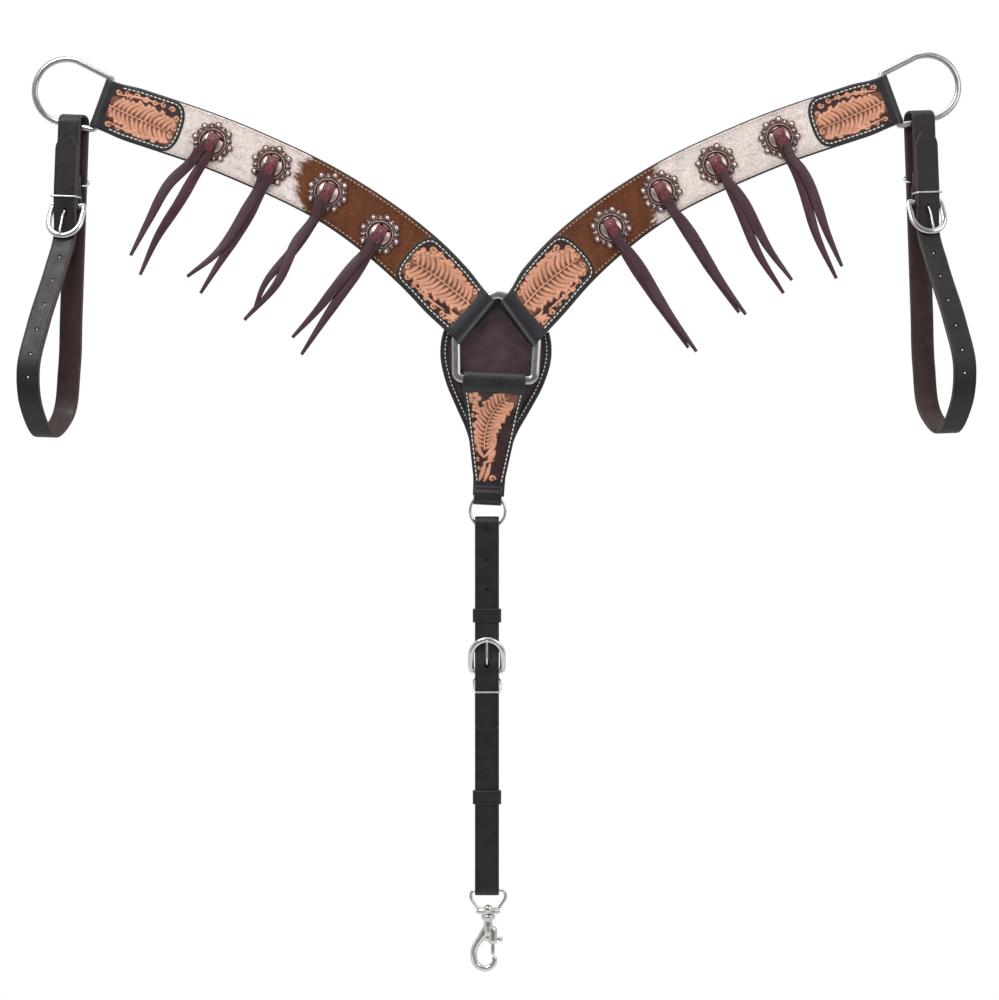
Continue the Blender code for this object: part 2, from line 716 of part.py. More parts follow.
def tug_path():
    """Middle line of a tug strap about its pivot, as (depth, height), from the billet's tip."""
    fold = TUG_POCKET + STRAP_THICKNESS / 2
    heel = TUG_HEEL_Z
    rise = 0.0032
    front = -fold - LAYER
    loop = [(front, TUG_TIP_Z), (front, -0.045), (front, heel + 0.004),
            (front + 0.0003, heel - 0.003), (-0.0086, heel - 0.016), (-0.0080, heel - 0.030),
            (-0.0200, -0.150), (-0.0470, -0.215), (-0.0600, -0.262), (-0.0520, -0.300),
            (-0.0270, -0.3275), (-0.0030, -0.309), (fold, -0.255), (fold, -0.200),
            (fold, -0.100), (fold, rise)]
    line = smooth(loop, 4)[:-1] + arc((0, rise), fold, 0, 180, 12)[:-1]
    line += [(-fold, rise), (-fold, heel + 0.045), (-fold, heel + 0.010)]
    line += arc((TUG_BAR, heel), CHAPE_BEND, 180, 360, 12)[:-1]
    end = [(TUG_BAR + CHAPE_BEND, heel), (TUG_BAR + CHAPE_BEND, heel + 0.005),
           (-fold + LAYER, heel + 0.019), (-fold + LAYER, heel + 0.030)]
    return line + smooth(end, 4)


def strap_solid(name, path, width, heel, heading):
    """A strap along its path, with the slot its tongue passes at the heel bar."""
    obj = flat_solid(name, [ribbon(path, STRAP_THICKNESS)], width, FACING_SIDE)
    bar, height = heel
    slot = block(f"{name}_slot", (2 * TONGUE_SLOT, 0.0098, 0.0130),
                 (0, bar, height + heading * 0.0016), CUTTERS)
    combine(obj, slot, "DIFFERENCE")
    return obj


def punch(obj, path, heights):
    """Punches round holes through the first layer that a path has at each height."""
    for i, height in enumerate(heights):
        depth, slope = depth_at(path, height)
        way = Vector((0, 1, -slope)).normalized() * 0.0024
        centre = Vector((0, depth, height))
        hole = cylinder(f"{obj.name}_hole_{i}", HOLE_RADIUS, centre - way, centre + way, 10, CUTTERS)
        combine(obj, hole, "DIFFERENCE")


def depth_at(path, height):
    """Depth of the path's front layer at a height, and its change of depth with height."""
    found = []
    for a, b in zip(path, path[1:]):
        if min(a[1], b[1]) <= height <= max(a[1], b[1]) and a[1] != b[1]:
            t = (height - a[1]) / (b[1] - a[1])
            found.append((a[0] + (b[0] - a[0]) * t, (b[0] - a[0]) / (b[1] - a[1])))
    return min(found)


def buckle_points(bar, height, heading, reach_depth):
    """A horseshoe about a heel bar, as points in space; heading is +1 when its bow points up."""
    straight = BUCKLE_LENGTH - BUCKLE_HALF_WIDTH - BUCKLE_WIRE
    bow = arc((0, straight), BUCKLE_HALF_WIDTH, 0, 180, 16)
    flat = [(BUCKLE_HALF_WIDTH - 0.0022, 0.0), (BUCKLE_HALF_WIDTH, 0.0026), *bow,
            (-BUCKLE_HALF_WIDTH, 0.0026), (-BUCKLE_HALF_WIDTH + 0.0022, 0.0)]
    length = straight + BUCKLE_HALF_WIDTH
    return [(x, bar + reach_depth * up / length, height + heading * up) for x, up in flat]


def make_buckle(name, bar, height, heading, reach_depth):
    points = buckle_points(bar, height, heading, reach_depth)
    frame = tube(f"{name}_buckle_frame", points, BUCKLE_WIRE)
    heel_x = BUCKLE_HALF_WIDTH - 0.0020
    heel = cylinder(f"{name}_heel_bar", HEEL_WIRE, (-heel_x, bar, height), (heel_x, bar, height),
                    12, CUTTERS)
    combine(frame, heel, "UNION")
    return baked(frame)


def make_tongue(name, bar, height, heading, reach_depth):
    """The tongue: a ring on the heel bar and a prong that ends on the frame's bow."""
    eye = HEEL_WIRE + 0.0003 + TONGUE_WIRE
    ring = [(0.0, bar + y, height + z) for y, z in arc((0, 0), eye, 0, 330, 11)]
    obj = tube(f"{name}_buckle_tongue", ring, TONGUE_WIRE, closed=True)
    tip_depth = bar + reach_depth - BUCKLE_WIRE - TONGUE_WIRE - 0.0010
    start = (0.0, bar - 0.0010, height + heading * eye)
    tip = (0.0, tip_depth, height + heading * (BUCKLE_LENGTH - BUCKLE_WIRE + 0.0010))
    prong = cylinder(f"{name}_prong", TONGUE_WIRE, start, tip, 10, CUTTERS)
    combine(obj, prong, "UNION")
    return baked(obj)


def tongue_hole(name, bar, height, heading, reach_depth):
    """The long hole in the billet that the prong comes through."""
    low, high = 0.0045, 0.0200
    centre = (0, bar + reach_depth * 0.55, height + heading * (low + high) / 2)
    return block(f"{name}_tongue_hole", (2 * TONGUE_SLOT, 0.0130, high - low), centre, CUTTERS)


def wire_keeper(name, width, front, back, height, rise):
    """A rectangular wire loop round the layers between two depths, its front bar set lower or higher."""
    half_width = width / 2 + KEEPER_WIRE + 0.0006
    line = rounded([(-half_width, back), (half_width, back), (half_width, front),
                    (-half_width, front)], (0.0022,) * 4, steps=3)
    slope = rise / (back - front)
    points = [(x, y, height + (back - y) * slope) for x, y in line]
    return tube(name, points, KEEPER_WIRE, closed=True)


def make_girth():
    """The girth strap with its buckle, its keepers and its wire loop."""
    shift = Matrix.Translation((GIRTH_X, 0, 0))
    path = girth_path()
    bar = GIRTH_BAR
    bow_depth = -0.0080
    heel = Vector((GIRTH_X, bar, GIRTH_HEEL_Z))
    strap = strap_solid("girth_strap", path, STRAP_WIDTH, (bar, GIRTH_HEEL_Z), 1)
    hole = tongue_hole("girth", bar, GIRTH_HEEL_Z, 1, bow_depth)
    combine(strap, hole, "DIFFERENCE")
    punch(strap, path, GIRTH_HOLES)
    point_tip(strap, -0.0085, GIRTH_TIP_Z, -1)
    finish(rehang(moved(baked(strap), shift), (GIRTH_X, 0, RING_Z - RING_PIVOT)), "strap_leather")
    frame = moved(make_buckle("girth", bar, GIRTH_HEEL_Z, 1, bow_depth), shift)
    finish(rehang(frame, heel), "nickel")
    tongue = moved(make_tongue("girth", bar, GIRTH_HEEL_Z, 1, bow_depth), shift)
    finish(rehang(tongue, heel), "nickel")
    loop_depth = GIRTH_BAR + 0.0002
    loop_height = GIRTH_HEEL_Z - 0.0078
    loop = wire_keeper("girth_wire_keeper", STRAP_WIDTH, -0.0101, loop_depth, loop_height, -0.0140)
    finish(rehang(moved(loop, shift), (GIRTH_X, loop_depth, loop_height)), "nickel")
    for word, height in KEEPERS.items():
        make_leather_keeper(word, height)


def point_tip(strap, depth, height, heading):
    """Cuts the billet's end to a blunt point; heading is -1 when the end points down."""
    half = STRAP_WIDTH / 2 + 0.002
    for side in (-1, 1):
        corner = [(side * half, height - heading * 0.012), (side * half, height + heading * 0.004),
                  (side * 0.0025, height + heading * 0.004), (side * 0.0025, height)]
        cutter = sheet(f"{strap.name}_tip_{side}", corner, depth - 0.005, depth + 0.0036,
                       home=CUTTERS)
        combine(strap, cutter, "DIFFERENCE")


def make_leather_keeper(word, height):
    """A leather band sewn into a ring that slides on the two layers of the girth strap."""
    inner = (STRAP_WIDTH / 2 + 0.0005, LAYER + 0.0002 + 0.0004)
    outer = tuple(v + KEEPER_LEATHER for v in inner)
    loops = []
    for (across, deep), radius in ((outer, 0.0022), (inner, 0.0006)):
        corners = [(-across, -deep), (across, -deep), (across, deep), (-across, deep)]
        loops.append(rounded(corners, (radius,) * 4, steps=4))
    matrix = Matrix.Translation((GIRTH_X, 0, height))
    obj = flat_solid(f"girth_keeper_{word}", loops, KEEPER_HEIGHT, matrix)
    return finish(rehang(obj, (GIRTH_X, 0, height)), "strap_leather")


def tug_matrix(side):
    skew = Matrix.Identity(4)
    skew[0][1] = -side * TUG_SKEW
    lean = Matrix.Rotation(-side * TUG_LEAN, 4, "Y")
    return Matrix.Translation(tug_pivot(side)) @ lean @ skew


def make_tug(word, side):
    """A tug strap with its buckle and its two wire keepers."""
    place = tug_matrix(side)
    pivot = tug_pivot(side)
    path = tug_path()
    fold = TUG_POCKET + STRAP_THICKNESS / 2
    bar = TUG_BAR
    bow_depth = -0.0102
    strap = strap_solid(f"{word}_tug_strap", path, TUG_WIDTH, (bar, TUG_HEEL_Z), -1)
    hole = tongue_hole(f"{word}_tug", bar, TUG_HEEL_Z, -1, bow_depth)
    combine(strap, hole, "DIFFERENCE")
    punch(strap, path, TUG_HOLES)
    point_tip(strap, -0.0130, TUG_TIP_Z, 1)
    finish(rehang(moved(baked(strap), place), pivot), "strap_leather")
    heel = place @ Vector((0, bar, TUG_HEEL_Z))
    frame = moved(make_buckle(f"{word}_tug", bar, TUG_HEEL_Z, -1, bow_depth), place)
    finish(rehang(frame, heel), "nickel")
    tongue = moved(make_tongue(f"{word}_tug", bar, TUG_HEEL_Z, -1, bow_depth), place)
    finish(rehang(tongue, heel), "nickel")
    loop_depth = bar - 0.0006
    loop_height = TUG_HEEL_Z + 0.0076
    front = wire_keeper(f"{word}_tug_front_keeper", TUG_WIDTH, -fold - 2 * LAYER, loop_depth,
                        loop_height, 0.0006)
    finish(rehang(moved(front, place), place @ Vector((0, loop_depth, loop_height))), "nickel")
    rear_height = TUG_HEEL_Z + 0.027
    rear = wire_keeper(f"{word}_tug_rear_keeper", TUG_WIDTH, fold - LAYER, fold + LAYER, rear_height,
                       -0.0060)
    finish(rehang(moved(rear, place), place @ Vector((0, fold, rear_height))), "nickel")


# ---------------------------------------------------------------- conchos and strings


def make_concho(word, number, x, z):
    """A turned disc with a raised rim and a domed middle; its axis runs front to back."""
    profile = [(0.0, 0.0), (CONCHO_RADIUS, 0.0), (CONCHO_RADIUS, 0.0020),
               (CONCHO_RADIUS * 0.85, 0.0034), (CONCHO_RADIUS * 0.62, 0.0030),
               (CONCHO_RADIUS * 0.34, CONCHO_HEIGHT), (0.0, CONCHO_HEIGHT)]
    work = bmesh.new()
    ring = [work.verts.new((r, 0, h)) for r, h in profile]
    edges = [work.edges.new(pair) for pair in zip(ring, ring[1:])]
    bmesh.ops.spin(work, geom=ring + edges, axis=(0, 0, 1), cent=(0, 0, 0), steps=20,
                   angle=2 * math.pi)
    bmesh.ops.remove_doubles(work, verts=work.verts, dist=1e-6)
    bmesh.ops.recalc_face_normals(work, faces=work.faces)
    name = f"{word}_concho_{number}"
    obj = from_bmesh(name, work, None)
    obj.data.transform(Matrix.Rotation(math.radians(90), 4, "X"))
    obj.matrix_world = Matrix.Translation((x, CONCHO_BACK, z))
    return finish(obj, "copper")


def make_string(word, number, root, tip_a, tip_b):
    """One knotted string with two tapering tails, lying in front of its concho."""
    start = Vector(root)
    tips = [Vector(tip_a), Vector(tip_b)]
    along = ((tips[0] + tips[1]) / 2 - start).normalized()
    across = Vector((-along.y, along.x))
    if (tips[1] - tips[0]).dot(across) < 0:
        tips.reverse()
    spare = max(0.0, TIP_SPREAD - (tips[1] - tips[0]).dot(across)) / 2
    tips = [tips[0] - across * spare, tips[1] + across * spare]
    start = start - along * 0.004
    half = STRING_WIDTH / 2
    outline = [start - across * half]
    outline += tail(start, tips[0], across, -half, 0.0)
    outline += tail(start, tips[1], across, 0.0, half)
    outline.append(start + across * half)
    name = f"{word}_string_{number}"
    obj = sheet(name, [tuple(p) for p in outline], STRING_FRONT, STRING_FRONT + STRING_THICKNESS)
    pivot = (start.x, STRING_FRONT + STRING_THICKNESS / 2, start.y)
    return finish(rehang(obj, pivot), "latigo")


def tail(start, tip, across, low, high):
    """One tail's outer edge, blunt tip and inner edge, down to where the tails part."""
    way = (tip - start).normalized()
    side = Vector((-way.y, way.x))
    part = start + way * 0.045
    blunt = [tip - side * STRING_TIP / 2, tip + side * STRING_TIP / 2]
    if low < 0:
        belly = start.lerp(tip, 0.45) - side * STRING_WIDTH * 0.55
        return [belly, *blunt, part + side * 0.0002]
    belly = start.lerp(tip, 0.45) + side * STRING_WIDTH * 0.55
    return [*blunt, belly]


# ---------------------------------------------------------------- snap


def make_swivel_eye():
    """The strap eye with its base plate and the swivel rivet's head."""
    half = [(x, z + GIRTH_FOOT_Z) for x, z in EYE_SIDE]
    outline = [half[0], half[1], half[2], *[(-x, z) for x, z in reversed(half)]]
    line = rounded(outline, (0.0045, 0.0060, 0.0030, 0.0030, 0.0060, 0.0045), steps=4)
    eye = tube("snap_swivel_eye", [(x, 0.0, z) for x, z in line], EYE_WIRE, closed=True)
    base = block("eye_base", tuple(2 * v for v in EYE_BASE), (0, 0, EYE_BASE_Z), CUTTERS)
    head = ball("rivet_head", 0.0052, (0, 0, EYE_BASE_Z + 0.0022), CUTTERS)
    combine(eye, base, "UNION")
    combine(eye, head, "UNION")
    moved(baked(eye), Matrix.Translation((SNAP_X, 0, 0)))
    return finish(rehang(eye, (SNAP_X, 0, GIRTH_FOOT_Z)), "nickel")


def make_hook():
    """The hook: collar, neck, the housing of the bolt and the curved hook."""
    line = [(x, 0.0, z) for x, z in smooth(HOOK_LINE, 5)]
    hook = tube("snap_hook", line, HOOK_WIRE, fine=True)
    collar = cylinder("hook_collar", 0.0073, (0, 0, HOOK_TOP_Z), (0, 0, HOOK_TOP_Z - 0.005), 24,
                      CUTTERS)
    neck = cylinder("hook_neck", 0.0050, (0, 0, HOOK_TOP_Z - 0.004), (0, 0, -0.6230), 20, CUTTERS)
    housing = cylinder("hook_housing", HOUSING_RADIUS, (BOLT_X, 0, HOUSING_Z[0]),
                       (BOLT_X, 0, HOUSING_Z[1]), 20, CUTTERS)
    bore = cylinder("hook_bore", BOLT_RADIUS + GAP, (BOLT_X, 0, BORE_TOP_Z),
                    (BOLT_X, 0, BOLT_FOOT_Z - 0.0002), 20, CUTTERS)
    slot = block("hook_slot", (0.0100, 0.0036, 0.0140), (BOLT_X + 0.0050, 0, LEVER_Z + 0.0010),
                 CUTTERS)
    for piece, operation in ((collar, "UNION"), (neck, "UNION"), (housing, "UNION"),
                             (bore, "DIFFERENCE"), (slot, "DIFFERENCE")):
        combine(hook, piece, operation)
    moved(baked(hook), Matrix.Translation((SNAP_X, 0, 0)))
    return finish(rehang(hook, (SNAP_X, 0, HOOK_TOP_Z)), "nickel")


def make_bolt():
    """The sliding bolt with its thumb lever."""
    bolt = cylinder("snap_bolt", BOLT_RADIUS, (BOLT_X, 0, BOLT_FOOT_Z), (BOLT_X, 0, BOLT_TOP_Z), 16)
    stem = cylinder("bolt_stem", 0.0012, (BOLT_X, 0, LEVER_Z), (BOLT_X + 0.0075, 0, LEVER_Z), 10,
                    CUTTERS)
    knob = ball("bolt_knob", 0.0026, (BOLT_X + 0.0078, 0, LEVER_Z), CUTTERS)
    combine(bolt, stem, "UNION")
    combine(bolt, knob, "UNION")
    moved(baked(bolt), Matrix.Translation((SNAP_X, 0, 0)))
    return finish(rehang(bolt, (SNAP_X + BOLT_X, 0, BOLT_FOOT_Z)), "nickel")


def make_spring():
    """The coil spring that stands on the bolt inside its bore."""
    low = BOLT_TOP_Z + GAP + SPRING_WIRE
    high = BORE_TOP_Z - GAP - SPRING_WIRE
    steps = SPRING_TURNS * 8
    points = []
    for i in range(steps + 1):
        turn = 2 * math.pi * SPRING_TURNS * i / steps
        points.append((SNAP_X + BOLT_X + SPRING_RADIUS * math.cos(turn),
                       SPRING_RADIUS * math.sin(turn), low + (high - low) * i / steps))
    return finish(tube("snap_spring", points, SPRING_WIRE), "nickel")


# ---------------------------------------------------------------- the whole collar


def make_arm(word, side):
    make_arm_base(word, side)
    make_hide(word, side)
    make_patch(word, side, at_dee=True)
    make_patch(word, side, at_dee=False)
    make_outer_dee(word, side)
    make_tug(word, side)
    for number, (root, tip_a, tip_b) in enumerate(CONCHO_STRINGS[word], 1):
        make_concho(word, number, *root)
        make_string(word, number, root, tip_a, tip_b)


def hide_cutters():
    for obj in CUTTERS.objects:
        obj.hide_render = True
        obj.display_type = "WIRE"
    CUTTERS.hide_render = True


def build():
    make_center_dee()
    make_spade_plate()
    make_drop_patch()
    make_lower_ring()
    make_girth()
    make_swivel_eye()
    make_hook()
    make_bolt()
    make_spring()
    for word, side in SIDES.items():
        make_arm(word, side)
    hide_cutters()


clear_scene()
PARTS = new_collection("breast_collar")
CUTTERS = new_collection("cutters")
MATERIALS = {name: make_material(name, *look) for name, look in FINISHES.items()}
build()
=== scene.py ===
"""The looks of the western breast collar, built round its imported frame: metres, +Z up, front at -Y."""

import math

import bmesh
import bpy
import numpy as np
from mathutils import Matrix, Vector


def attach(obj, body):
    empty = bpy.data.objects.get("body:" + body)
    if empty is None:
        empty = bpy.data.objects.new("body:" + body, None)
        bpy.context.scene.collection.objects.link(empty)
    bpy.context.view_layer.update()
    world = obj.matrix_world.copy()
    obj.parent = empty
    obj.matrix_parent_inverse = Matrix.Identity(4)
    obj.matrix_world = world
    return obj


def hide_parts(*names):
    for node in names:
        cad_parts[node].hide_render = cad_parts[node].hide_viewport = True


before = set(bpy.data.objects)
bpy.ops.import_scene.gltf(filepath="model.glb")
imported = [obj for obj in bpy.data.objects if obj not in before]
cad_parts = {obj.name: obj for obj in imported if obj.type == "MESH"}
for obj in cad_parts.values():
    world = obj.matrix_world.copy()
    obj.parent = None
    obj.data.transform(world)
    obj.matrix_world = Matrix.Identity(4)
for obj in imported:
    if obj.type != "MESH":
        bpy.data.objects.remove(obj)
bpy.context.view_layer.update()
RANDOM = np.random.default_rng(7)

# ---------------------------------------------------------------- driving dimensions, in metres

SIDES = {"left": -1, "right": 1}

# Arms: the middle line from the centre dee to the outer dee, and the two leather layers.
ARM_HALF = 0.0287
ARM_LINES = {
    -1: ((0.0262, 0.0233), (0.083, 0.0835), (0.1628, 0.1440), (0.2678, 0.1960), (0.4121, 0.2470)),
    1: ((0.0262, 0.0233), (0.083, 0.0880), (0.1628, 0.1495), (0.2678, 0.2010), (0.4121, 0.2512)),
}
ARM_LAYER = 0.0029
ARM_FRONT = -0.0025
ARM_BACK = 0.0035
FRONT_MIDDLE = ARM_FRONT + ARM_LAYER / 2
BACK_MIDDLE = ARM_BACK - ARM_LAYER / 2
INNER_FOLD = 0.0067  # radius of the leather's middle round the centre dee
INNER_BLEND = 0.0240
OUTER_FOLD = 0.0055
OUTER_BLEND = 0.0165
HIDE_TOP = 0.0018  # height of the hide's skin above the arm's front
PATCH_TOP = 0.0030
INNER_PATCH = (0.0040, 0.0955)
OUTER_PATCH = (0.0008, 0.0865)
PATCH_HALF = 0.0275
PATCH_ROUND = 0.0180
PATCH_POWER = 2.6  # squareness of the patches' round ends
STITCH_INSET = 0.0034  # a carved panel's stitches and their groove, in from its cut edge
FIELD_INSET = (0.0052, 0.0058)  # where a panel's sunk carved field begins
FIELD_FLOOR = -0.0010
RELIEF = 0.0014  # height of the carving's crests above that floor
HAIRS = 17000
HIDE_INSET = 0.0016  # the hide's edge, in from the leather's
HIDE_LAP = 0.014  # how far the hide runs under the patches
HIDE_BORDERS = {-1: (0.209, -0.005, -0.013), 1: (0.163, 0.0, 0.006)}  # brown to white: place, slant, bow

# Centre dee.
DEE_APEX_Z = 0.0571
DEE_SHOULDER = (0.0426, 0.0020)
DEE_FOOT = (0.0410, -0.0415)
DEE_CORNERS = (0.0148, 0.0100, 0.0070)
DEE_WIRE = (0.0046, 0.00225)
ARM_TUNNEL = (0.0200, 0.0662)
DROP_LEAN = math.radians(3)

# Outer dees.
OUTER_TILT = math.radians(20)
OUTER_BAR = 0.0285
OUTER_CORNER = 0.0050
OUTER_BOW = 0.0336
OUTER_REACH = 0.0417
OUTER_WIRE = (0.0032, 0.0022)

# Drop.
PLATE_FRONT = 0.0086
PLATE_THICKNESS = 0.0034
PLATE_SIDE = ((0.0549, 0.0124), (0.0577, 0.0010), (0.0585, -0.0170), (0.0520, -0.0440), (0.0390, -0.0720),
              (0.0262, -0.0980), (0.0190, -0.1250), (0.0168, -0.1500), (0.0165, -0.1640))
PLATE_SHOULDER = (0.0412, 0.0032)
PLATE_NECK_APEX = 0.0455
PLATE_STITCH = 0.0052  # the plate's stitches, in from its edge
PLATE_BORDER = (0.0082, 0.0088)  # where its black border gives way to its brown middle
DROP_FOLD = 0.0070
DROP_LAYER = 0.0021
DROP_HALF = 0.0332
DROP_FOOT = (0.0150, -0.1560)

# Lower ring.
RING_X = -0.0093
RING_Z = -0.1795
RING_RADIUS = 0.0184
RING_WIRE = 0.00155
RING_PIVOT = 0.0130
RING_POCKET = 0.0047

# Straps.
STRAP_HALF = 0.0127
TUG_HALF = 0.0118
STRAP_THICKNESS = 0.0028
GAP = 0.0004
LAYER = STRAP_THICKNESS + GAP
GIRTH_X = -0.0100
GIRTH_HEEL_Z = -0.3475
GIRTH_TIP_Z = -0.4150
GIRTH_FOOT_Z = -0.5780
GIRTH_EYE_BORE = 0.0023
GIRTH_HOLES = (-0.1995, -0.2310, -0.2625)
KEEPER_HALF = 0.00725
KEEPER_LEATHER = 0.0018
KEEPERS = {"upper": -0.2893, "lower": -0.4800}
TUG_ALONG = 0.0225
TUG_LEAN = math.radians(2)
TUG_SKEW = 0.48
TUG_POCKET = 0.0056
TUG_HEEL_Z = -0.0840
TUG_TIP_Z = -0.0120
TUG_HOLES = (-0.140, -0.165, -0.191, -0.218, -0.2440, -0.2680)
HOLE_RADIUS = 0.0021
HOLE_WAIST = 0.42  # how far a punched hole closes up at mid depth
PUNCH_SIDES = 20
PUNCH_LEVELS = (0.0005, 0.0017)  # half depths of a punch's waist, and of where it is full again

# Buckles.
BUCKLE_HALF = 0.0160
BUCKLE_LENGTH = 0.0345
BUCKLE_BAND = (0.0022, 0.0017)
HEEL_WIRE = 0.0015
TONGUE_WIRE = 0.0012
CHAPE_BEND = HEEL_WIRE + GAP + STRAP_THICKNESS / 2
GIRTH_BAR = -0.0018
TUG_BAR = CHAPE_BEND - TUG_POCKET - STRAP_THICKNESS / 2
KEEPER_WIRE = 0.0010

# Conchos, and the route of each string's two tails from its knot.
CONCHO_BACK = -0.0047
CONCHO_BASE = 0.0012  # thickness of the plain face between its reliefs
BERRIES = 8
BERRY_CIRCLE = 0.0189
BERRY_RADIUS = 0.0025
ROPE_RADIUS = 0.0135
DOME_RADIUS = 0.0117
CONCHOS = {
    "left": ((-0.2977, 0.2069), (-0.2357, 0.1827), (-0.1769, 0.1544), (-0.1223, 0.1103)),
    "right": ((0.2966, 0.2121), (0.2305, 0.1838), (0.1727, 0.1554), (0.1202, 0.1176)),
}
TAILS = {
    "left": (
        (((-0.3185, 0.1870), (-0.3417, 0.1643), (-0.3640, 0.1250), (-0.3831, 0.0880)),
         ((-0.3110, 0.1800), (-0.3316, 0.1442), (-0.3560, 0.1060), (-0.3733, 0.0678))),
        (((-0.2480, 0.1610), (-0.2625, 0.1355), (-0.2927, 0.0908), (-0.3236, 0.0657)),
         ((-0.2440, 0.1600), (-0.2600, 0.1290), (-0.2880, 0.0840), (-0.3100, 0.0484))),
        (((-0.1900, 0.1290), (-0.2093, 0.1024), (-0.2294, 0.0592), (-0.2640, 0.0204)),
         ((-0.1880, 0.1300), (-0.2121, 0.0950), (-0.2440, 0.0560), (-0.2540, 0.0304))),
        (((-0.1340, 0.0960), (-0.1480, 0.0800), (-0.1906, 0.0273), (-0.2137, 0.0021)),
         ((-0.1310, 0.0940), (-0.1430, 0.0756), (-0.1832, 0.0170), (-0.2042, -0.0158))),
    ),
    "right": (
        (((0.3060, 0.1950), (0.3190, 0.1785), (0.3470, 0.1090), (0.3617, 0.0765)),
         ((0.3040, 0.1940), (0.3140, 0.1764), (0.3360, 0.1070), (0.3560, 0.0640))),
        (((0.2390, 0.1700), (0.2520, 0.1540), (0.2870, 0.0920), (0.3092, 0.0620)),
         ((0.2380, 0.1700), (0.2490, 0.1500), (0.2760, 0.0870), (0.3005, 0.0483))),
        (((0.1820, 0.1400), (0.1960, 0.1220), (0.2330, 0.0640), (0.2610, 0.0262)),
         ((0.1810, 0.1400), (0.1930, 0.1230), (0.2260, 0.0700), (0.2540, 0.0283))),
        (((0.1280, 0.1040), (0.1400, 0.0900), (0.1800, 0.0280), (0.2095, -0.0126)),
         ((0.1270, 0.1040), (0.1370, 0.0880), (0.1730, 0.0330), (0.2010, -0.0085))),
    ),
}
STRING_THICKNESS = 0.0020

# Snap.
SNAP_X = -0.0088
EYE_WIRE = 0.0018
EYE_SIDE = ((0.0180, 0.0), (0.0182, -0.0085), (0.0105, -0.0195))
EYE_BASE_Z = -0.6000
HOOK_TOP_Z = -0.6031
HOOK_LINE = ((0.0, -0.620), (-0.0085, -0.6290), (-0.0150, -0.6420), (-0.0120, -0.6560),
             (-0.0020, -0.6600), (0.0060, -0.6545), (0.0066, -0.6463))
BOLT_X = 0.0050
BOLT_RADIUS = 0.0021
BOLT_FOOT_Z = -0.6455
BOLT_TOP_Z = -0.6265
LEVER_Z = -0.6290
HOUSING_Z = -0.6155
BORE_Z = -0.6285
BORE_RADIUS = 0.0025
LEVER_SLOT = (0.0080, 0.0034, 0.0125)


def rgb(code):
    """A linear colour from its hex code."""
    parts = [int(code[i:i + 2], 16) / 255 for i in (1, 3, 5)]
    return tuple(v / 12.92 if v <= 0.04045 else ((v + 0.055) / 1.055) ** 2.4 for v in parts)


BLACK = rgb("#1f1e22")
BLACK_EDGE = rgb("#141316")
# Painted shade: the near-black tint of the walls inside punched holes, which also takes their shine away.
HOLE_PAINTED_SHADE = (0.0010, 0.0009, 0.0009)  # inside punched holes, where nothing shines
DULL = (0.0016, 0.0034)  # tints between which leather gains its shine
WHITE = (1.0, 1.0, 1.0)
BROWN_BLACK = rgb("#2a2122")
PLATE_BROWN = rgb("#493338")
STRAP = rgb("#1a1416")
STRAP_EDGE = rgb("#3a2c2c")
FLESH = rgb("#35221d")
GROUND = rgb("#41241f")
GROUND_DARK = rgb("#251518")
TAN_LIGHT = rgb("#dfa183")
TAN = rgb("#be8060")
TAN_DARK = rgb("#7a4022")
THREAD = rgb("#efe8dc")
HIDE_WHITE = rgb("#faeee9")
HIDE_GREY = rgb("#b3a49d")
HIDE_BROWN = rgb("#764327")
HIDE_DARK = rgb("#532a15")
TAN_THREAD = rgb("#cdb9a4")
LATIGO = rgb("#462a31")
LATIGO_RED = rgb("#43212a")
LATIGO_KNOT = rgb("#6a3038")
LATIGO_DARK = rgb("#2f1c22")
LATIGO_EDGE = rgb("#2a151b")
# Painted highlight along the crest of each arm's fold at the centre dee.
ARM_CREST_HIGHLIGHT = rgb("#6a666d")
# Painted highlight along the crest of the drop's fold over the dee's bar.
DROP_CREST_HIGHLIGHT = rgb("#4a464c")
BEAD = rgb("#c9aaa4")
# The tint on the conchos' crests is partly painted highlight.
COPPER = (rgb("#3a2c31"), rgb("#b4968f"), rgb("#f0e2dc"))  # in its hollows, on its face, on its crests
BUCKLE_TINT = (0.80, 0.78, 0.76)
# The heel's knobs are tinted darker: a painted dark reflection.
KNOB_TINT = (0.45, 0.42, 0.42)
HEEL_TINT = (0.60, 0.58, 0.57)
BAND_TINTS = (BLACK, BLACK_EDGE, BROWN_BLACK, BLACK)  # front, edge, back and crease
STRAP_TINTS = (STRAP, STRAP_EDGE, FLESH, BLACK_EDGE)
TOWARDS_VIEWER = (0, -1, 0)


# ---------------------------------------------------------------- curves


def arc(centre, radius, start, end, steps):
    """Points on an arc, from start to end in degrees."""
    angles = (math.radians(start + (end - start) * i / steps) for i in range(steps + 1))
    return [(centre[0] + radius * math.cos(a), centre[1] + radius * math.sin(a)) for a in angles]


def rounded(corners, radii, closed=True, steps=6):
    """A polygon whose corners are replaced by arcs of the given radii."""
    points = []
    count = len(corners)
    for i, radius in enumerate(radii):
        here = Vector(corners[i])
        if not closed and i in (0, count - 1):
            points.append(tuple(here))
            continue
        back = (Vector(corners[i - 1]) - here).normalized()
        on = (Vector(corners[(i + 1) % count]) - here).normalized()
        half = back.angle(on) / 2
        if math.cos(half) < 0.005:
            points.append(tuple(here))
            continue
        middle = here + (back + on).normalized() * (radius / math.sin(half))
        first = here + back * (radius / math.tan(half)) - middle
        turn = math.copysign(math.pi - 2 * half, on.cross(back))
        for k in range(steps + 1):
            points.append(tuple(middle + Matrix.Rotation(turn * k / steps, 2) @ first))
    return points


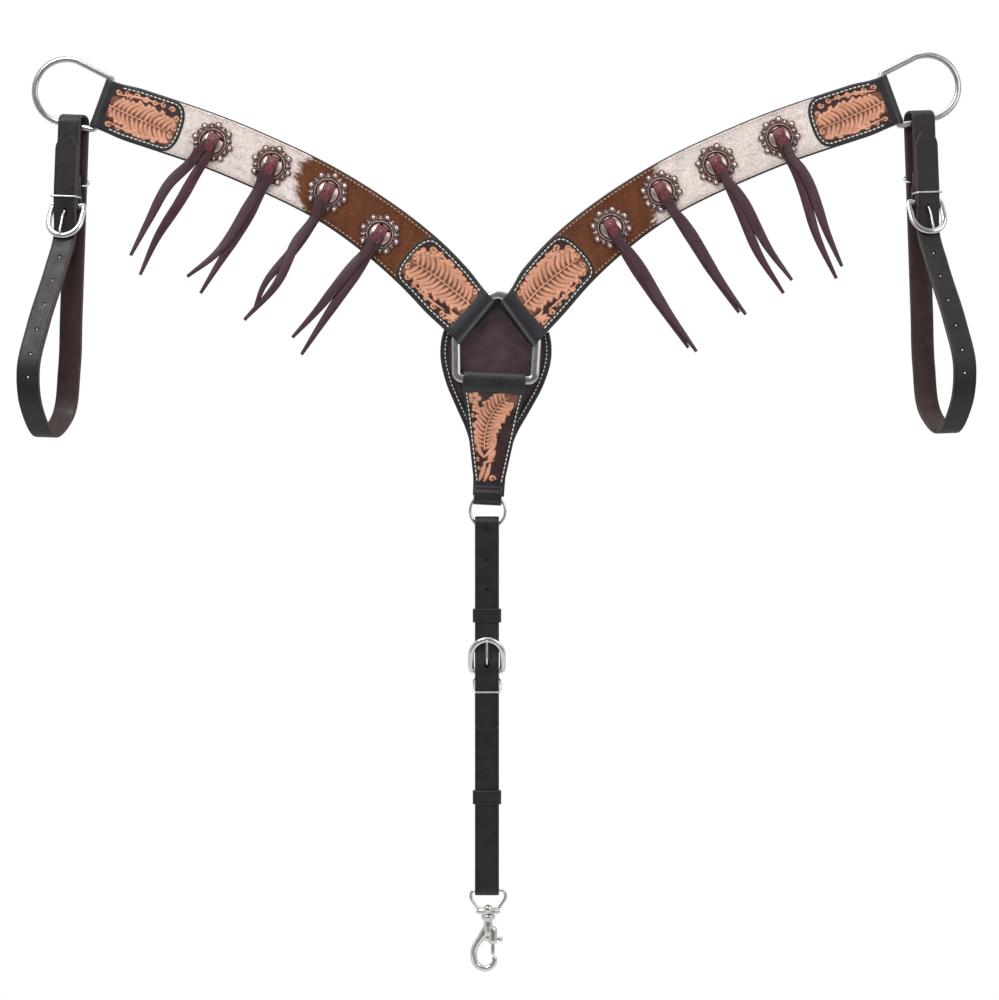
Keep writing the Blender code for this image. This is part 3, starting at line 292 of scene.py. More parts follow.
def smooth(points, steps=8):
    """An even curve through the points, whatever their spacing."""
    line = [Vector(p) for p in points]
    line = [2 * line[0] - line[1], *line, 2 * line[-1] - line[-2]]
    out = []
    for a, b, c, d in zip(line, line[1:], line[2:], line[3:]):
        before, here, after = (b - a).length, (c - b).length, (d - c).length
        leave = ((b - a) * here / before + (c - b) * before / here) * here / (before + here)
        arrive = ((c - b) * after / here + (d - c) * here / after) * here / (here + after)
        for i in range(steps):
            t = i / steps
            out.append(b * (1 + 2 * t) * (1 - t) ** 2 + c * t**2 * (3 - 2 * t)
                       + leave * t * (1 - t) ** 2 - arrive * t**2 * (1 - t))
    return [tuple(p) for p in (*out, line[-2])]


def bent(points, radius=0.020):
    """Straight runs through the points, each bend eased as far as its shorter run allows."""
    radii = [0.0]
    for a, b, c in zip(points, points[1:], points[2:]):
        back, on = Vector(a) - Vector(b), Vector(c) - Vector(b)
        room = min(back.length, on.length) * 0.45
        radii.append(min(radius, room * math.tan(back.angle(on) / 2)))
    return rounded(points, (*radii, 0.0), closed=False, steps=4)


def lengths(points):
    """Distance along a line to each of its points."""
    points = np.asarray(points, float)
    return np.concatenate([[0], np.cumsum(np.linalg.norm(np.diff(points, axis=0), axis=1))])


def even(points, spacing):
    """The line cut into equal steps of about the given spacing."""
    points = np.asarray(points, float)
    run = lengths(points)
    count = max(2, int(round(run[-1] / spacing)) + 1)
    return sampled(np.linspace(0, run[-1], count), run, points)


def sampled(at, run, points):
    """Places at the given distances along a line, run being the distance to each of its points."""
    return np.stack([np.interp(at, run, column) for column in np.asarray(points, float).T], axis=-1)


def upright(points):
    """Points of the plane that faces the front, as places in space."""
    return np.array([(x, 0.0, z) for x, z in points])


def unit(ways):
    """Each way at a length of one."""
    return ways / np.maximum(np.linalg.norm(ways, axis=-1, keepdims=True), 1e-12)


def moved(matrix, points):
    """Points under a matrix, as an array."""
    return np.asarray(points, float) @ np.array(matrix)[:3, :3].T + np.array(matrix)[:3, 3]


def mixed(first, second, share):
    """A value between two, by a share for each place."""
    share = np.asarray(share, float)[..., None]
    return np.asarray(first) * (1 - share) + np.asarray(second) * share


def tangents(points, closed=False):
    """The way that a line runs at each of its points."""
    points = np.asarray(points, float)
    if closed:
        return unit(np.roll(points, -1, axis=0) - np.roll(points, 1, axis=0))
    return unit(np.gradient(points, axis=0))


def ease(low, high, value):
    """0 below low, 1 above high, and an even S between them."""
    t = np.clip((np.asarray(value, float) - low) / (high - low), 0, 1)
    return t * t * (3 - 2 * t)


# ---------------------------------------------------------------- meshes


class Shape:
    """Points, faces and a tint for each point, gathered for one piece."""

    def __init__(self):
        self.points, self.faces, self.tints, self.count = [], [], [], 0

    def add(self, points, faces, tint):
        points = np.asarray(points, float).reshape(-1, 3)
        tint = np.broadcast_to(np.asarray(tint, float).reshape(-1, 3), (len(points), 3))
        self.points.append(points)
        self.tints.append(tint)
        base = self.count
        self.faces += [tuple(int(i) + base for i in face) for face in faces]
        self.count += len(points)
        return self


def piece(name, shape, body, material, replaces=(), sharp=40, outward=True):
    """Makes a shape into a mesh object that rides on a CAD body."""
    points = np.concatenate(shape.points)
    tints = np.concatenate(shape.tints)
    mesh = bpy.data.meshes.new(name)
    mesh.from_pydata(points.tolist(), [], shape.faces)
    colors = mesh.attributes.new("tint", "FLOAT_COLOR", "POINT")
    colors.data.foreach_set("color", np.hstack([tints, np.ones((len(tints), 1))]).astype(np.float32).ravel())
    if outward:
        work = bmesh.new()
        work.from_mesh(mesh)
        bmesh.ops.recalc_face_normals(work, faces=work.faces)
        work.to_mesh(mesh)
        work.free()
    mesh.shade_smooth()
    mesh.set_sharp_from_angle(angle=math.radians(sharp))
    mesh.materials.append(MATERIALS[material])
    obj = bpy.data.objects.new(name, mesh)
    bpy.context.scene.collection.objects.link(obj)
    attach(obj, body)
    if replaces:
        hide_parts(*replaces)
    return obj


def grid_faces(rows, cols, close_rows=False, close_cols=False):
    """Quads of a grid of points, row by row."""
    faces = []
    for i in range(rows if close_rows else rows - 1):
        for j in range(cols if close_cols else cols - 1):
            n, m = (i + 1) % rows, (j + 1) % cols
            faces.append((i * cols + j, i * cols + m, n * cols + m, n * cols + j))
    return faces


def skin_faces(rows, sides, closed=False):
    """Faces of a skin over rings of points, with flat ends where it doesn't close on itself."""
    faces = grid_faces(rows, sides, closed, True)
    if closed:
        return faces
    return faces + [tuple(range(sides))[::-1], tuple((rows - 1) * sides + i for i in range(sides))]


def tube(shape, points, tint, wide, deep=None, sides=14, closed=False, up=(0, 1, 0)):
    """A wire of oval section along points: wide across, deep along up. Either may vary along it."""
    points = np.asarray(points, float)
    rows = len(points)
    way = tangents(points, closed)
    up = np.broadcast_to(np.asarray(up, float), (rows, 3))
    side = unit(np.cross(way, up))
    top = np.cross(side, way)
    wide = np.broadcast_to(np.asarray(wide, float), (rows,))
    deep = wide if deep is None else np.broadcast_to(np.asarray(deep, float), (rows,))
    angle = 2 * np.pi * np.arange(sides) / sides
    ring = (points[:, None] + side[:, None] * (wide[:, None] * np.cos(angle))[..., None]
            + top[:, None] * (deep[:, None] * np.sin(angle))[..., None])
    return shape.add(ring, skin_faces(rows, sides, closed), tint)


def lathe(shape, profile, tint, place, sides=24):
    """A turned solid: profile is (radius, height) from its foot to its top, about the local Z."""
    profile = np.asarray(profile, float)
    angle = 2 * np.pi * np.arange(sides) / sides
    ring = np.stack([profile[:, :1] * np.cos(angle), profile[:, :1] * np.sin(angle),
                     np.repeat(profile[:, 1:], sides, axis=1)], axis=-1)
    return shape.add(moved(place, ring.reshape(-1, 3)), skin_faces(len(profile), sides), tint)


def dome(shape, centre, radius, height, tint, sides=14, rings=5):
    """A closed round boss standing out towards the front."""
    turn = Vector(TOWARDS_VIEWER).to_track_quat("Z", "Y").to_matrix().to_4x4()
    profile = [(radius * 0.96, -0.25 * height)]
    for i in range(rings + 1):
        angle = math.pi / 2 * i / rings
        profile.append((max(radius * math.cos(angle), radius * 0.03), height * math.sin(angle)))
    return lathe(shape, profile, tint, Matrix.Translation(centre) @ turn, sides)


def section(half, thickness, cols=9, crease=None, round_by=1.0):
    """A strap's closed cross-section, as (share of the half width, distance beyond it, height)."""
    edge = thickness / 2 * round_by
    share = np.linspace(-1, 1, cols)
    face = [(f, 0.0, thickness / 2, 0) for f in share]
    if crease:
        inset, depth, wide = crease
        inner = [f for f in share if abs(f) * (half - edge) < half - inset - wide * 1.2]
        mark = [(-1, -(inset - edge) + e, thickness / 2 - d, 3 if d else 0)
                for e, d in ((-wide, 0), (-wide / 2, 0), (0, depth), (wide / 2, 0), (wide, 0))]
        left, right = ([(sign, *rest) for _, *rest in marks] for sign, marks in ((-1, mark[::-1]), (1, mark)))
        face = [face[0], *left, *[(f, 0.0, thickness / 2, 0) for f in inner], *right, face[-1]]
    corner = [math.radians(a) for a in (22, 45, 67, 90)]
    bend = [(edge * math.sin(a), thickness / 2 - edge * (1 - math.cos(a))) for a in corner]
    rest = bend[::-1][1 if edge >= thickness / 2 else 0:]
    rows = face + [(1, out, up, 1) for out, up in bend] + [(1, out, -up, 1) for out, up in rest]
    rows += [(f, 0.0, -thickness / 2, 2) for f in share[::-1]]
    rows += [(-1, out, -up, 1) for out, up in bend] + [(-1, out, up, 1) for out, up in rest]
    return np.array(rows, float), edge


def strip(shape, path, halves, cut, place, tints, closed=False, tint_at=None):
    """A strap: its cross-section swept along a path in the plane (a, b), with t across.

    place turns arrays of a, b and t into points. tints are for front, edge, back and crease, and
    tint_at may change them, given each point's distance across.
    """
    rows, edge = cut
    path = np.asarray(path, float)
    way = tangents(path, closed)
    normal = np.stack([-way[:, 1], way[:, 0]], axis=1)
    halves = np.broadcast_to(np.asarray(halves, float), (len(path),))
    share, beyond, height, kind = rows.T
    inner = np.maximum(halves - edge, 0.0001)[:, None]
    across = share * inner + np.sign(share) * np.maximum(beyond, -0.85 * inner)
    a = path[:, :1] + normal[:, :1] * height
    b = path[:, 1:] + normal[:, 1:] * height
    points = place(a, b, across)
    tint = np.array(tints, float)[kind.astype(int)][None].repeat(len(path), axis=0)
    if tint_at is not None:
        tint = tint_at(tint, across)
    return shape.add(points, skin_faces(len(path), len(rows), closed), tint.reshape(-1, 3))


def stitches(shape, line, tint, pitch, length, radius):
    """A row of stitches lying along a line on a surface that faces the front."""
    run = lengths(line)
    count = max(1, int(run[-1] / pitch))
    at = (np.arange(count) + 0.5) * run[-1] / count
    spot = sampled(at, run, line)
    way = unit(sampled(at + 0.001, run, line) - sampled(at - 0.001, run, line))
    side = unit(np.cross(way, TOWARDS_VIEWER))
    up = np.cross(side, way)
    slant = RANDOM.normal(0, 0.05, count)[:, None]
    way = way + side * slant
    sides = 6
    angle = 2 * np.pi * np.arange(sides) / sides
    stations = np.array([(-0.5, 0.30), (-0.40, 0.85), (0.0, 1.0), (0.40, 0.85), (0.5, 0.30)])
    for i in range(count):
        ring = (spot[i] + way[i] * (stations[:, :1] * length)[..., None]
                + (side[i] * (radius * stations[:, 1:] * np.cos(angle) * 1.15)[..., None])
                + (up[i] * (radius * stations[:, 1:] * np.sin(angle))[..., None]))
        shape.add(ring, skin_faces(len(stations), sides), np.array(tint) * RANDOM.uniform(0.86, 1.04))
    return shape


def close_rings(work, rings):
    """Skins a stack of rings of vertices, with a flat face at each end."""
    count = len(rings[0])
    for low, high in zip(rings, rings[1:]):
        for k in range(count):
            m = (k + 1) % count
            work.faces.new((low[k], low[m], high[m], high[k]))
    work.faces.new(rings[0][::-1])
    work.faces.new(rings[-1])


def punch(obj, spots, radius=HOLE_RADIUS, reach=0.0035, slots=(), waist=1.0, tint=None):
    """Cuts round holes, and slots with round ends, right through a piece.

    waist narrows the holes at mid depth, and tint is for the surface that the cut leaves: on the straps,
    near-black painted shade.
    """
    work = bmesh.new()
    low, high = PUNCH_LEVELS
    levels = ((-reach, 1.0), (-high, 1.0), (-low, waist), (low, waist), (high, 1.0), (reach, 1.0))
    angles = [2 * math.pi * k / PUNCH_SIDES for k in range(PUNCH_SIDES)]
    for centre, axis in spots:
        turn = Vector(axis).to_track_quat("Z", "Y").to_matrix()
        rings = []
        for rise, wide in levels:
            ring = [Vector((radius * wide * math.cos(a), radius * wide * math.sin(a), rise)) for a in angles]
            rings.append([work.verts.new(Vector(centre) + turn @ p) for p in ring])
        close_rings(work, rings)
    for start, end in slots:
        along = (Vector(end) - Vector(start)).normalized()
        side = along.cross(Vector((0, 1, 0))).normalized()
        outline = []
        for spot, way in ((Vector(end), 1), (Vector(start), -1)):
            for k in range(9):
                angle = math.pi * (k / 8 - 0.5)
                outline.append(spot + way * (along * math.cos(angle) + side * math.sin(angle)) * radius)
        close_rings(work, [[work.verts.new(p + Vector((0, y, 0))) for p in outline] for y in (-reach, reach)])
    bmesh.ops.recalc_face_normals(work, faces=work.faces)
    take_out(obj, work)
    if tint is not None:
        layer = obj.data.attributes["tint"]
        colors = np.empty(4 * len(layer.data), np.float32)
        layer.data.foreach_get("color", colors)
        colors = colors.reshape(-1, 4)
        colors[colors[:, 0] > 0.9] = (*tint, 1.0)
        layer.data.foreach_set("color", colors.ravel())


def take_out(obj, work):
    """Cuts closed solids, given as a bmesh, out of a piece."""
    mesh = bpy.data.meshes.new("cutter")
    work.to_mesh(mesh)
    work.free()
    cutter = bpy.data.objects.new("cutter", mesh)
    bpy.context.scene.collection.objects.link(cutter)
    modifier = obj.modifiers.new("cutter", "BOOLEAN")
    modifier.operation = "DIFFERENCE"
    modifier.solver = "EXACT"
    modifier.object = cutter
    settle(obj)
    bpy.data.objects.remove(cutter)


def settle(obj):
    """Applies an object's modifiers to its mesh."""
    bpy.context.view_layer.update()
    graph = bpy.context.evaluated_depsgraph_get()
    mesh = bpy.data.meshes.new_from_object(obj.evaluated_get(graph))
    obj.modifiers.clear()
    obj.data = mesh
    obj.data.set_sharp_from_angle(angle=math.radians(40))


# ---------------------------------------------------------------- materials


def feed(tree, made, values):
    """Gives a node's inputs their values: another node's socket, or a plain setting."""
    for key, value in values.items():
        if isinstance(value, bpy.types.NodeSocket):
            tree.links.new(value, made.inputs[key])
        else:
            made.inputs[key].default_value = value


def node_maker(tree):
    """A function that adds a node to a tree, with its inputs and settings."""
    def node(kind, inputs=None, **settings):
        made = tree.nodes.new(kind)
        for key, value in settings.items():
            setattr(made, key, value)
        feed(tree, made, inputs or {})
        return made

    return node


def new_material(name):
    """A material, a function that adds a node to it, and one that feeds its shader."""
    material = bpy.data.materials.new(name)
    material.use_nodes = True
    tree = material.node_tree
    return material, node_maker(tree), lambda values: feed(tree, tree.nodes["Principled BSDF"], values)


def remap(node, value, low, high, start=0.0, end=1.0):
    """A value's range from low to high, stretched to run from start to end."""
    made = node("ShaderNodeMapRange", {"Value": value, "From Min": low, "From Max": high,
                                       "To Min": start, "To Max": end})
    return made.outputs["Result"]


def bumped(node, height, strength, distance):
    """The way that a surface seems to face when a height lifts it."""
    made = node("ShaderNodeBump", {"Height": height, "Strength": strength, "Distance": distance})
    return made.outputs["Normal"]


def tinted(node, low=0.8, high=1.15, scale=70.0):
    """The object's own space, the tint stored on the mesh varied softly, and what varies it."""
    place = node("ShaderNodeTexCoord").outputs["Object"]
    tint = node("ShaderNodeAttribute", attribute_name="tint").outputs["Color"]
    cloud = node("ShaderNodeTexNoise", {"Vector": place, "Scale": scale, "Detail": 5.0, "Roughness": 0.6})
    cloud = cloud.outputs["Fac"]
    value = remap(node, cloud, 0.3, 0.7, low, high)
    color = node("ShaderNodeVectorMath", {0: tint, "Scale": value}, operation="SCALE")
    return place, color.outputs["Vector"], cloud


def leather(name, roughness, grain=1500.0, depth=0.00012, wear_and_sheen=0.10):
    """Grained leather: pores and fine creases, and a tint that varies a little."""
    material, node, dress = new_material(name)
    place, color, cloud = tinted(node)
    pores = node("ShaderNodeTexVoronoi", {"Vector": place, "Scale": grain}, feature="F1")
    creases = node("ShaderNodeTexNoise", {"Vector": place, "Scale": grain * 0.4, "Detail": 6.0})
    grained = node("ShaderNodeMath", {0: pores.outputs["Distance"], 1: creases.outputs["Fac"]},
                   operation="MULTIPLY")
    raw = node("ShaderNodeAttribute", attribute_name="tint", attribute_type="GEOMETRY")
    dress({"Base Color": color, "Normal": bumped(node, grained.outputs[0], 0.55, depth),
           "Roughness": remap(node, cloud, 0.3, 0.7, roughness - wear_and_sheen, roughness + wear_and_sheen),
           "Specular IOR Level": remap(node, raw.outputs["Fac"], *DULL, 0.0, 0.45)})
    return material


def hide_material():
    """The skin and the fibres of the hair-on hide share one soft, streaky finish."""
    material, node, dress = new_material("hair_hide")
    _, color, cloud = tinted(node, 0.82, 1.12, 420.0)
    dress({"Base Color": color, "Normal": bumped(node, cloud, 0.5, 0.0002), "Roughness": 0.62,
           "Specular IOR Level": 0.25, "Sheen Weight": 0.15})
    return material


def metal(name, roughness, color=None, dark=0.75, spread=0.05, scratch=0.00002):
    """Metal with faint cloudy wear and fine scratches. Without a color it shows the mesh's tint."""
    material, node, dress = new_material(name)
    place, shade, cloud = tinted(node, dark, 1.05, 160.0)
    if color is not None:
        mix = node("ShaderNodeMix", data_type="RGBA")
        mix.inputs[6].default_value = (*(v * dark for v in color), 1)
        mix.inputs[7].default_value = (*color, 1)
        mix.id_data.links.new(remap(node, cloud, 0.35, 0.65), mix.inputs[0])
        shade = mix.outputs[2]
    marks = node("ShaderNodeTexNoise", {"Vector": place, "Scale": 2200.0, "Detail": 3.0})
    dress({"Base Color": shade, "Normal": bumped(node, marks.outputs["Fac"], 0.3, scratch), "Metallic": 1.0,
           "Roughness": remap(node, cloud, 0.3, 0.7, roughness - spread, roughness + spread)})
    return material


def thread_material():
    """Waxed thread, twisted along its length."""
    material, node, dress = new_material("thread")
    place, color, _ = tinted(node, 0.9, 1.06, 900.0)
    twist = node("ShaderNodeTexWave", {"Vector": place, "Scale": 900.0, "Distortion": 2.0})
    dress({"Base Color": color, "Normal": bumped(node, twist.outputs["Fac"], 0.4, 0.0001),
           "Roughness": 0.6})
    return material


MATERIALS = {
    "black_leather": leather("black_leather", 0.40),
    "strap_leather": leather("strap_leather", 0.44),
    "tooled_leather": leather("tooled_leather", 0.42, grain=2200.0, depth=0.00008),
    "hair_hide": hide_material(),
    "latigo": leather("latigo", 0.52, grain=1800.0, depth=0.0001),
    "copper": metal("copper", 0.30),
    "dee_steel": metal("dee_steel", 0.24, rgb("#b9b9b9"), 0.85),
    "nickel": metal("nickel", 0.16, rgb("#d6d4d0"), 0.88),
    "thread": thread_material(),
}


# ---------------------------------------------------------------- arms: the leather bands


def dee_run(side):
    """The dee's slanted run that an arm folds over: its apex corner, the way along and the way out."""
    apex = Vector((0.0, 0.0, DEE_APEX_Z))
    shoulder = Vector((side * DEE_SHOULDER[0], 0.0, DEE_SHOULDER[1]))
    along = (shoulder - apex).normalized()
    outward = Vector((-along.z * side, 0.0, along.x * side))
    turn = Matrix.Rotation(DROP_LEAN / 2, 3, "Y")
    return turn @ apex, turn @ along, turn @ outward


def outer_frame(side):
    """The outer dee's bar: its middle, the way out to the bow and the way up the bar."""
    x, z = ARM_LINES[side][-1]
    middle = Vector((side * x, 0.0, z))
    outward = Vector((side * math.cos(OUTER_TILT), 0.0, math.sin(OUTER_TILT)))
    up = Vector((-side * math.sin(OUTER_TILT), 0.0, math.cos(OUTER_TILT)))
    return middle, outward, up


class Arm:
    """Turns a distance s along an arm, and t up from its middle line, into a place."""

    FLARE = (1.03, 1.02)  # how the band spreads over the centre dee, below and above
    REACH = (0.042, 0.035)  # how far each end's straight fold rules the band's direction
    SPREAD = 0.11  # how much wider the band is near the centre dee
    NARROWS = (0.050, 0.205)  # where along the arm that spread begins and ends to fade
    LEAD = 0.055  # the inner fold's direction is the line's own over this length
    TAPER = 0.91  # its width at the outer dee

    def __init__(self, word):
        self.word, self.side = word, SIDES[word]
        line = np.array(smooth(ARM_LINES[self.side], 24)) * (self.side, 1)
        way = tangents(line)
        self.line, self.run = line, lengths(line)
        self.up = np.stack([-way[:, 1], way[:, 0]], axis=1) * self.side
        self.total = self.run[-1]
        apex, along, outward = dee_run(self.side)
        inner = apex + along * (sum(ARM_TUNNEL) / 2)
        self.inner = [np.array((v.x, v.z)) for v in (inner, outward, -along)]
        lead = sampled(self.LEAD, self.run, line) - line[0]
        self.inner[1] = lead / (lead @ self.inner[1])
        self.outer = [np.array((v.x, v.z)) for v in outer_frame(self.side)]

    def at(self, s, t):
        """Places in the plane of the arm, as arrays of x and z."""
        s, t = np.broadcast_arrays(np.asarray(s, float), np.asarray(t, float))
        first = 1 - ease(0, self.REACH[0], s)
        last = ease(self.total - self.REACH[1], self.total, s)
        flare = np.where(t > 0, self.FLARE[1], self.FLARE[0])
        wide = t * (1 + self.SPREAD * (1 - ease(*self.NARROWS, s)))
        spots = []
        for k in (0, 1):
            middle = np.interp(s, self.run, self.line[:, k]) + wide * np.interp(s, self.run, self.up[:, k])
            inner = self.inner[0][k] + s * self.inner[1][k] + t * flare * self.inner[2][k]
            outer = (self.outer[0][k] + (s - self.total) * self.outer[1][k]
                     + t * self.TAPER * self.outer[2][k])
            spots.append(middle * (1 - first - last) + inner * first + outer * last)
        return spots

    def place(self, s, y, t):
        """A place in space, at depth y."""
        x, z = self.at(s, t)
        return np.stack([x, np.broadcast_to(y, x.shape), z], axis=-1)

    def front(self, s):
        """Depth of the leather's front face, which swells forward over the two folds."""
        s = np.asarray(s, float)
        inner = (ARM_FRONT + INNER_FOLD + ARM_LAYER / 2) * (1 - ease(0, INNER_BLEND, s))
        outer = (ARM_FRONT + OUTER_FOLD + ARM_LAYER / 2) * ease(self.total - OUTER_BLEND, self.total, s)
        return ARM_FRONT - inner - outer

    def on(self, s, t, height):
        """A place on the front face, raised by height."""
        return self.place(s, self.front(s) - height, t)


def band_loop(arm):
    """The leather's middle as a closed loop of (distance, depth): front layer, dee, back layer, dee."""
    total = arm.total
    middle = np.arange(INNER_BLEND, total - OUTER_BLEND, 0.005)
    near = np.linspace(0, INNER_BLEND, 11)[1:-1]
    far = np.linspace(0, OUTER_BLEND, 9)[1:-1]
    loop = []
    for depth, sign in ((FRONT_MIDDLE, -1), (BACK_MIDDLE, 1)):
        inner = depth + (sign * INNER_FOLD - depth) * (1 - ease(0, INNER_BLEND, near))
        outer = depth + (sign * OUTER_FOLD - depth) * (1 - ease(0, OUTER_BLEND, far))
        run = [(s, y) for s, y in zip(near, inner)] + [(s, depth) for s in middle]
        run += [(total - s, y) for s, y in zip(far[::-1], outer[::-1])]
        if sign < 0:
            loop += run[::-1] + arc((0, 0), INNER_FOLD, 270, 90, 14)
        else:
            loop += run + arc((total, 0), OUTER_FOLD, 90, -90, 14)
    return loop


def make_band(arm):
    """The base leather of an arm, folded round both dees, with its two layers side by side."""
    shape = Shape()
    cut = section(ARM_HALF, ARM_LAYER, cols=13, round_by=0.8)
    loop = np.array(band_loop(arm))

    def wear_and_sheen(tint, across):
        """Painted highlight: the leather painted paler along the crest of the fold at the centre dee."""
        crest = np.exp(-((loop[:, 0] + 0.0052) / 0.0011) ** 2) * (loop[:, 1] < 0)
        share = (crest * 0.9)[:, None, None]
        return tint * (1 - share) + np.array(ARM_CREST_HIGHLIGHT) * share

    strip(shape, loop, ARM_HALF, cut, arm.place, BAND_TINTS, closed=True, tint_at=wear_and_sheen)
    piece(f"{arm.word}_arm_leather", shape, f"{arm.word}_arm", "black_leather",
          replaces=(f"{arm.word}_arm_base",))


# ---------------------------------------------------------------- arms: the hair-on hide


def hide_tone(arm, s, t):
    """Colour of the hide at each place: white outside, brown inside, with a ragged border between."""
    x, _ = arm.at(s, t)
    x = np.abs(x)
    share = t / ARM_HALF
    middle, slant, bow = HIDE_BORDERS[arm.side]
    bulge = middle + slant * share + bow * share**2
    ragged = 0.0022 * np.sin(t * 410 + 1.3) + 0.0016 * np.sin(t * 1430 + s * 90) + 0.0016 * np.sin(t * 3100)
    white = ease(-0.0022, 0.0022, x - bulge - ragged)
    cloud = 0.5 + 0.25 * (np.sin(s * 131 + t * 77) + np.sin(s * 287 - t * 163 + 2.1))
    pale = mixed(HIDE_WHITE, HIDE_GREY, 0.12 * cloud) * (1 - 0.20 * np.abs(share[..., None]) ** 6)
    dark = mixed(HIDE_BROWN, HIDE_DARK, 0.35 * cloud) * (1.12 - 0.42 * np.abs(share[..., None]) ** 3)
    return mixed(dark, pale, white)


def make_hide(arm):
    """The hide overlay: its skin, and thousands of short hairs combed out along the arm."""
    start, end = INNER_PATCH[1] - HIDE_LAP, arm.total - OUTER_PATCH[1] + HIDE_LAP
    half = ARM_HALF - HIDE_INSET
    rows = np.arange(start, end, 0.0014)
    cols = np.linspace(-half, half, 37)
    s, t = np.meshgrid(rows, cols, indexing="ij")
    edge = 1 - ease(0, 0.0012, half - np.abs(t))
    wavy = 0.00012 * np.sin(s * 900 + t * 1700) * np.sin(t * 2300 - s * 500)
    top = arm.on(s, t, HIDE_TOP - 0.0009 * edge + wavy)
    skin = Shape()
    skin.add(top, grid_faces(*s.shape), hide_tone(arm, s, t).reshape(-1, 3))
    close_under(skin, s.shape, arm.on(s, t, -0.0004).reshape(-1, 3), np.array(HIDE_DARK))
    piece(f"{arm.word}_hide_skin", skin, f"{arm.word}_arm", "hair_hide",
          replaces=(f"{arm.word}_hide_overlay",), sharp=75)
    hair = Shape()
    grow_hair(arm, hair, start, end, half)
    piece(f"{arm.word}_hide_hair", hair, f"{arm.word}_arm", "hair_hide", sharp=180, outward=False)
    thread = Shape()
    for sign in (-1, 1):
        along = np.arange(INNER_PATCH[1] - 0.008, arm.total - OUTER_PATCH[1] + 0.008, 0.003)
        line = arm.on(along, sign * (half - 0.0020), HIDE_TOP + 0.0003)
        stitches(thread, line, TAN_THREAD, pitch=0.0046, length=0.0027, radius=0.00042)
    piece(f"{arm.word}_hide_stitching", thread, f"{arm.word}_arm", "thread")


def outline_indices(rows, cols):
    """Indices round the border of a grid of points."""
    return ([*range(cols)] + [i * cols + cols - 1 for i in range(1, rows)]
            + [(rows - 1) * cols + j for j in range(cols - 2, -1, -1)]
            + [i * cols for i in range(rows - 2, 0, -1)])


def close_under(shape, size, low, tint, full=False):
    """Turns an open grid, the first thing in a shape, into a closed solid with a wall and a back.

    low is the grid of the back's points. The back is a ladder of faces across the grid, or with full
    every one of the grid's own.
    """
    rows, cols = size
    if full:
        base, rim = shape.count, outline_indices(rows, cols)
        shape.add(low, [face[::-1] for face in grid_faces(rows, cols)], tint)
        shape.faces += [(base + a, base + b, b, a) for a, b in zip(rim, rim[1:] + rim[:1])]
        return
    rim = outline_indices(rows, cols)
    base, count = shape.count, len(rim)
    wall = [(base + i, base + (i + 1) % count, rim[(i + 1) % count], rim[i]) for i in range(count)]
    shape.points.append(low[rim])
    shape.tints.append(np.broadcast_to(tint, (count, 3)))
    shape.faces += wall
    right = cols - 1
    back = [(*range(cols), right + 1, count - 1)]
    back += [(count - i, right + i, right + i + 1, count - i - 1) for i in range(1, rows - 2)]
    back.append(tuple(range(right + rows - 2, count - rows + 3)))
    shape.faces += [tuple(base + i for i in face) for face in back]
    shape.count += count


def patch_reach(last, t):
    """How far along the arm a round-ended patch reaches at each height t."""
    share = np.clip(np.abs(t) / PATCH_HALF, 0, 1)
    return last - PATCH_ROUND + PATCH_ROUND * (1 - share**PATCH_POWER) ** (1 / PATCH_POWER)


def grow_hair(arm, shape, start, end, half):
    """Short tapered hairs lying nearly flat, each bent a little along its length."""
    s = RANDOM.uniform(start, end, HAIRS)
    t = RANDOM.uniform(-half, half, HAIRS)
    long = RANDOM.uniform(0.0040, 0.0068, HAIRS)
    clear = patch_reach(INNER_PATCH[1], t) - s < 0.0010
    clear &= s + long * 0.9 < arm.total - patch_reach(OUTER_PATCH[1], t) + 0.0035
    s, t, long = s[clear], t[clear], long[clear]
    count = len(s)
    swirl = 0.25 * np.sin(s * 37 + arm.side) + 0.2 * np.sin(t * 90 + s * 11)
    angle = swirl + RANDOM.normal(0, 0.22, count)
    bend = RANDOM.normal(0, 0.25, count)
    wide = RANDOM.uniform(0.00011, 0.00019, count)
    lift = RANDOM.uniform(0.0001, 0.0006, count)
    tone = hide_tone(arm, s, t)
    pale = tone[:, 1] > 0.30
    spread = np.where(pale, 0.07, 0.20)
    clump = np.sin(s * 83 + t * 210) * np.sin(s * 47 - t * 330 + 1) > 0.45
    fleck = pale & (RANDOM.uniform(0, 1, count) < 0.03 + 0.22 * clump)
    tone = tone * (1 + spread * RANDOM.uniform(-1, 0.8, count) - 0.50 * fleck)[:, None]
    rows = []
    for share, spread, rise in ((0.0, 1.0, -0.0002), (0.5, 0.9, 0.8), (1.0, 0.25, 1.0)):
        turn = angle + bend * share
        along = s + long * share * np.cos(turn)
        across = t + long * share * np.sin(turn)
        inside = np.clip(across, -half + 0.0004, half - 0.0004)
        height = HIDE_TOP + (lift * rise if share else rise)
        for sign in (-1, 1):
            rows.append(arm.on(along - sign * wide * spread * np.sin(turn),
                               inside + sign * wide * spread * np.cos(turn), height))
    points = np.stack(rows, axis=1)
    faces = []
    for i in range(count):
        k = i * 6
        blade = [(k, k + 2, k + 3, k + 1), (k + 2, k + 4, k + 5, k + 3)]
        faces += blade if arm.side > 0 else [face[::-1] for face in blade]
    shape.add(points, faces, np.repeat(tone, 6, axis=0))


# ---------------------------------------------------------------- carved leather


def to_segment(spot, p, q):
    """Each spot's distance from a segment, and the share of the way along it of its nearest point."""
    way = q - p
    along = np.clip(((spot - p) @ way) / max(way @ way, 1e-12), 0, 1)
    return np.linalg.norm(spot - p - along[:, None] * way, axis=1), along


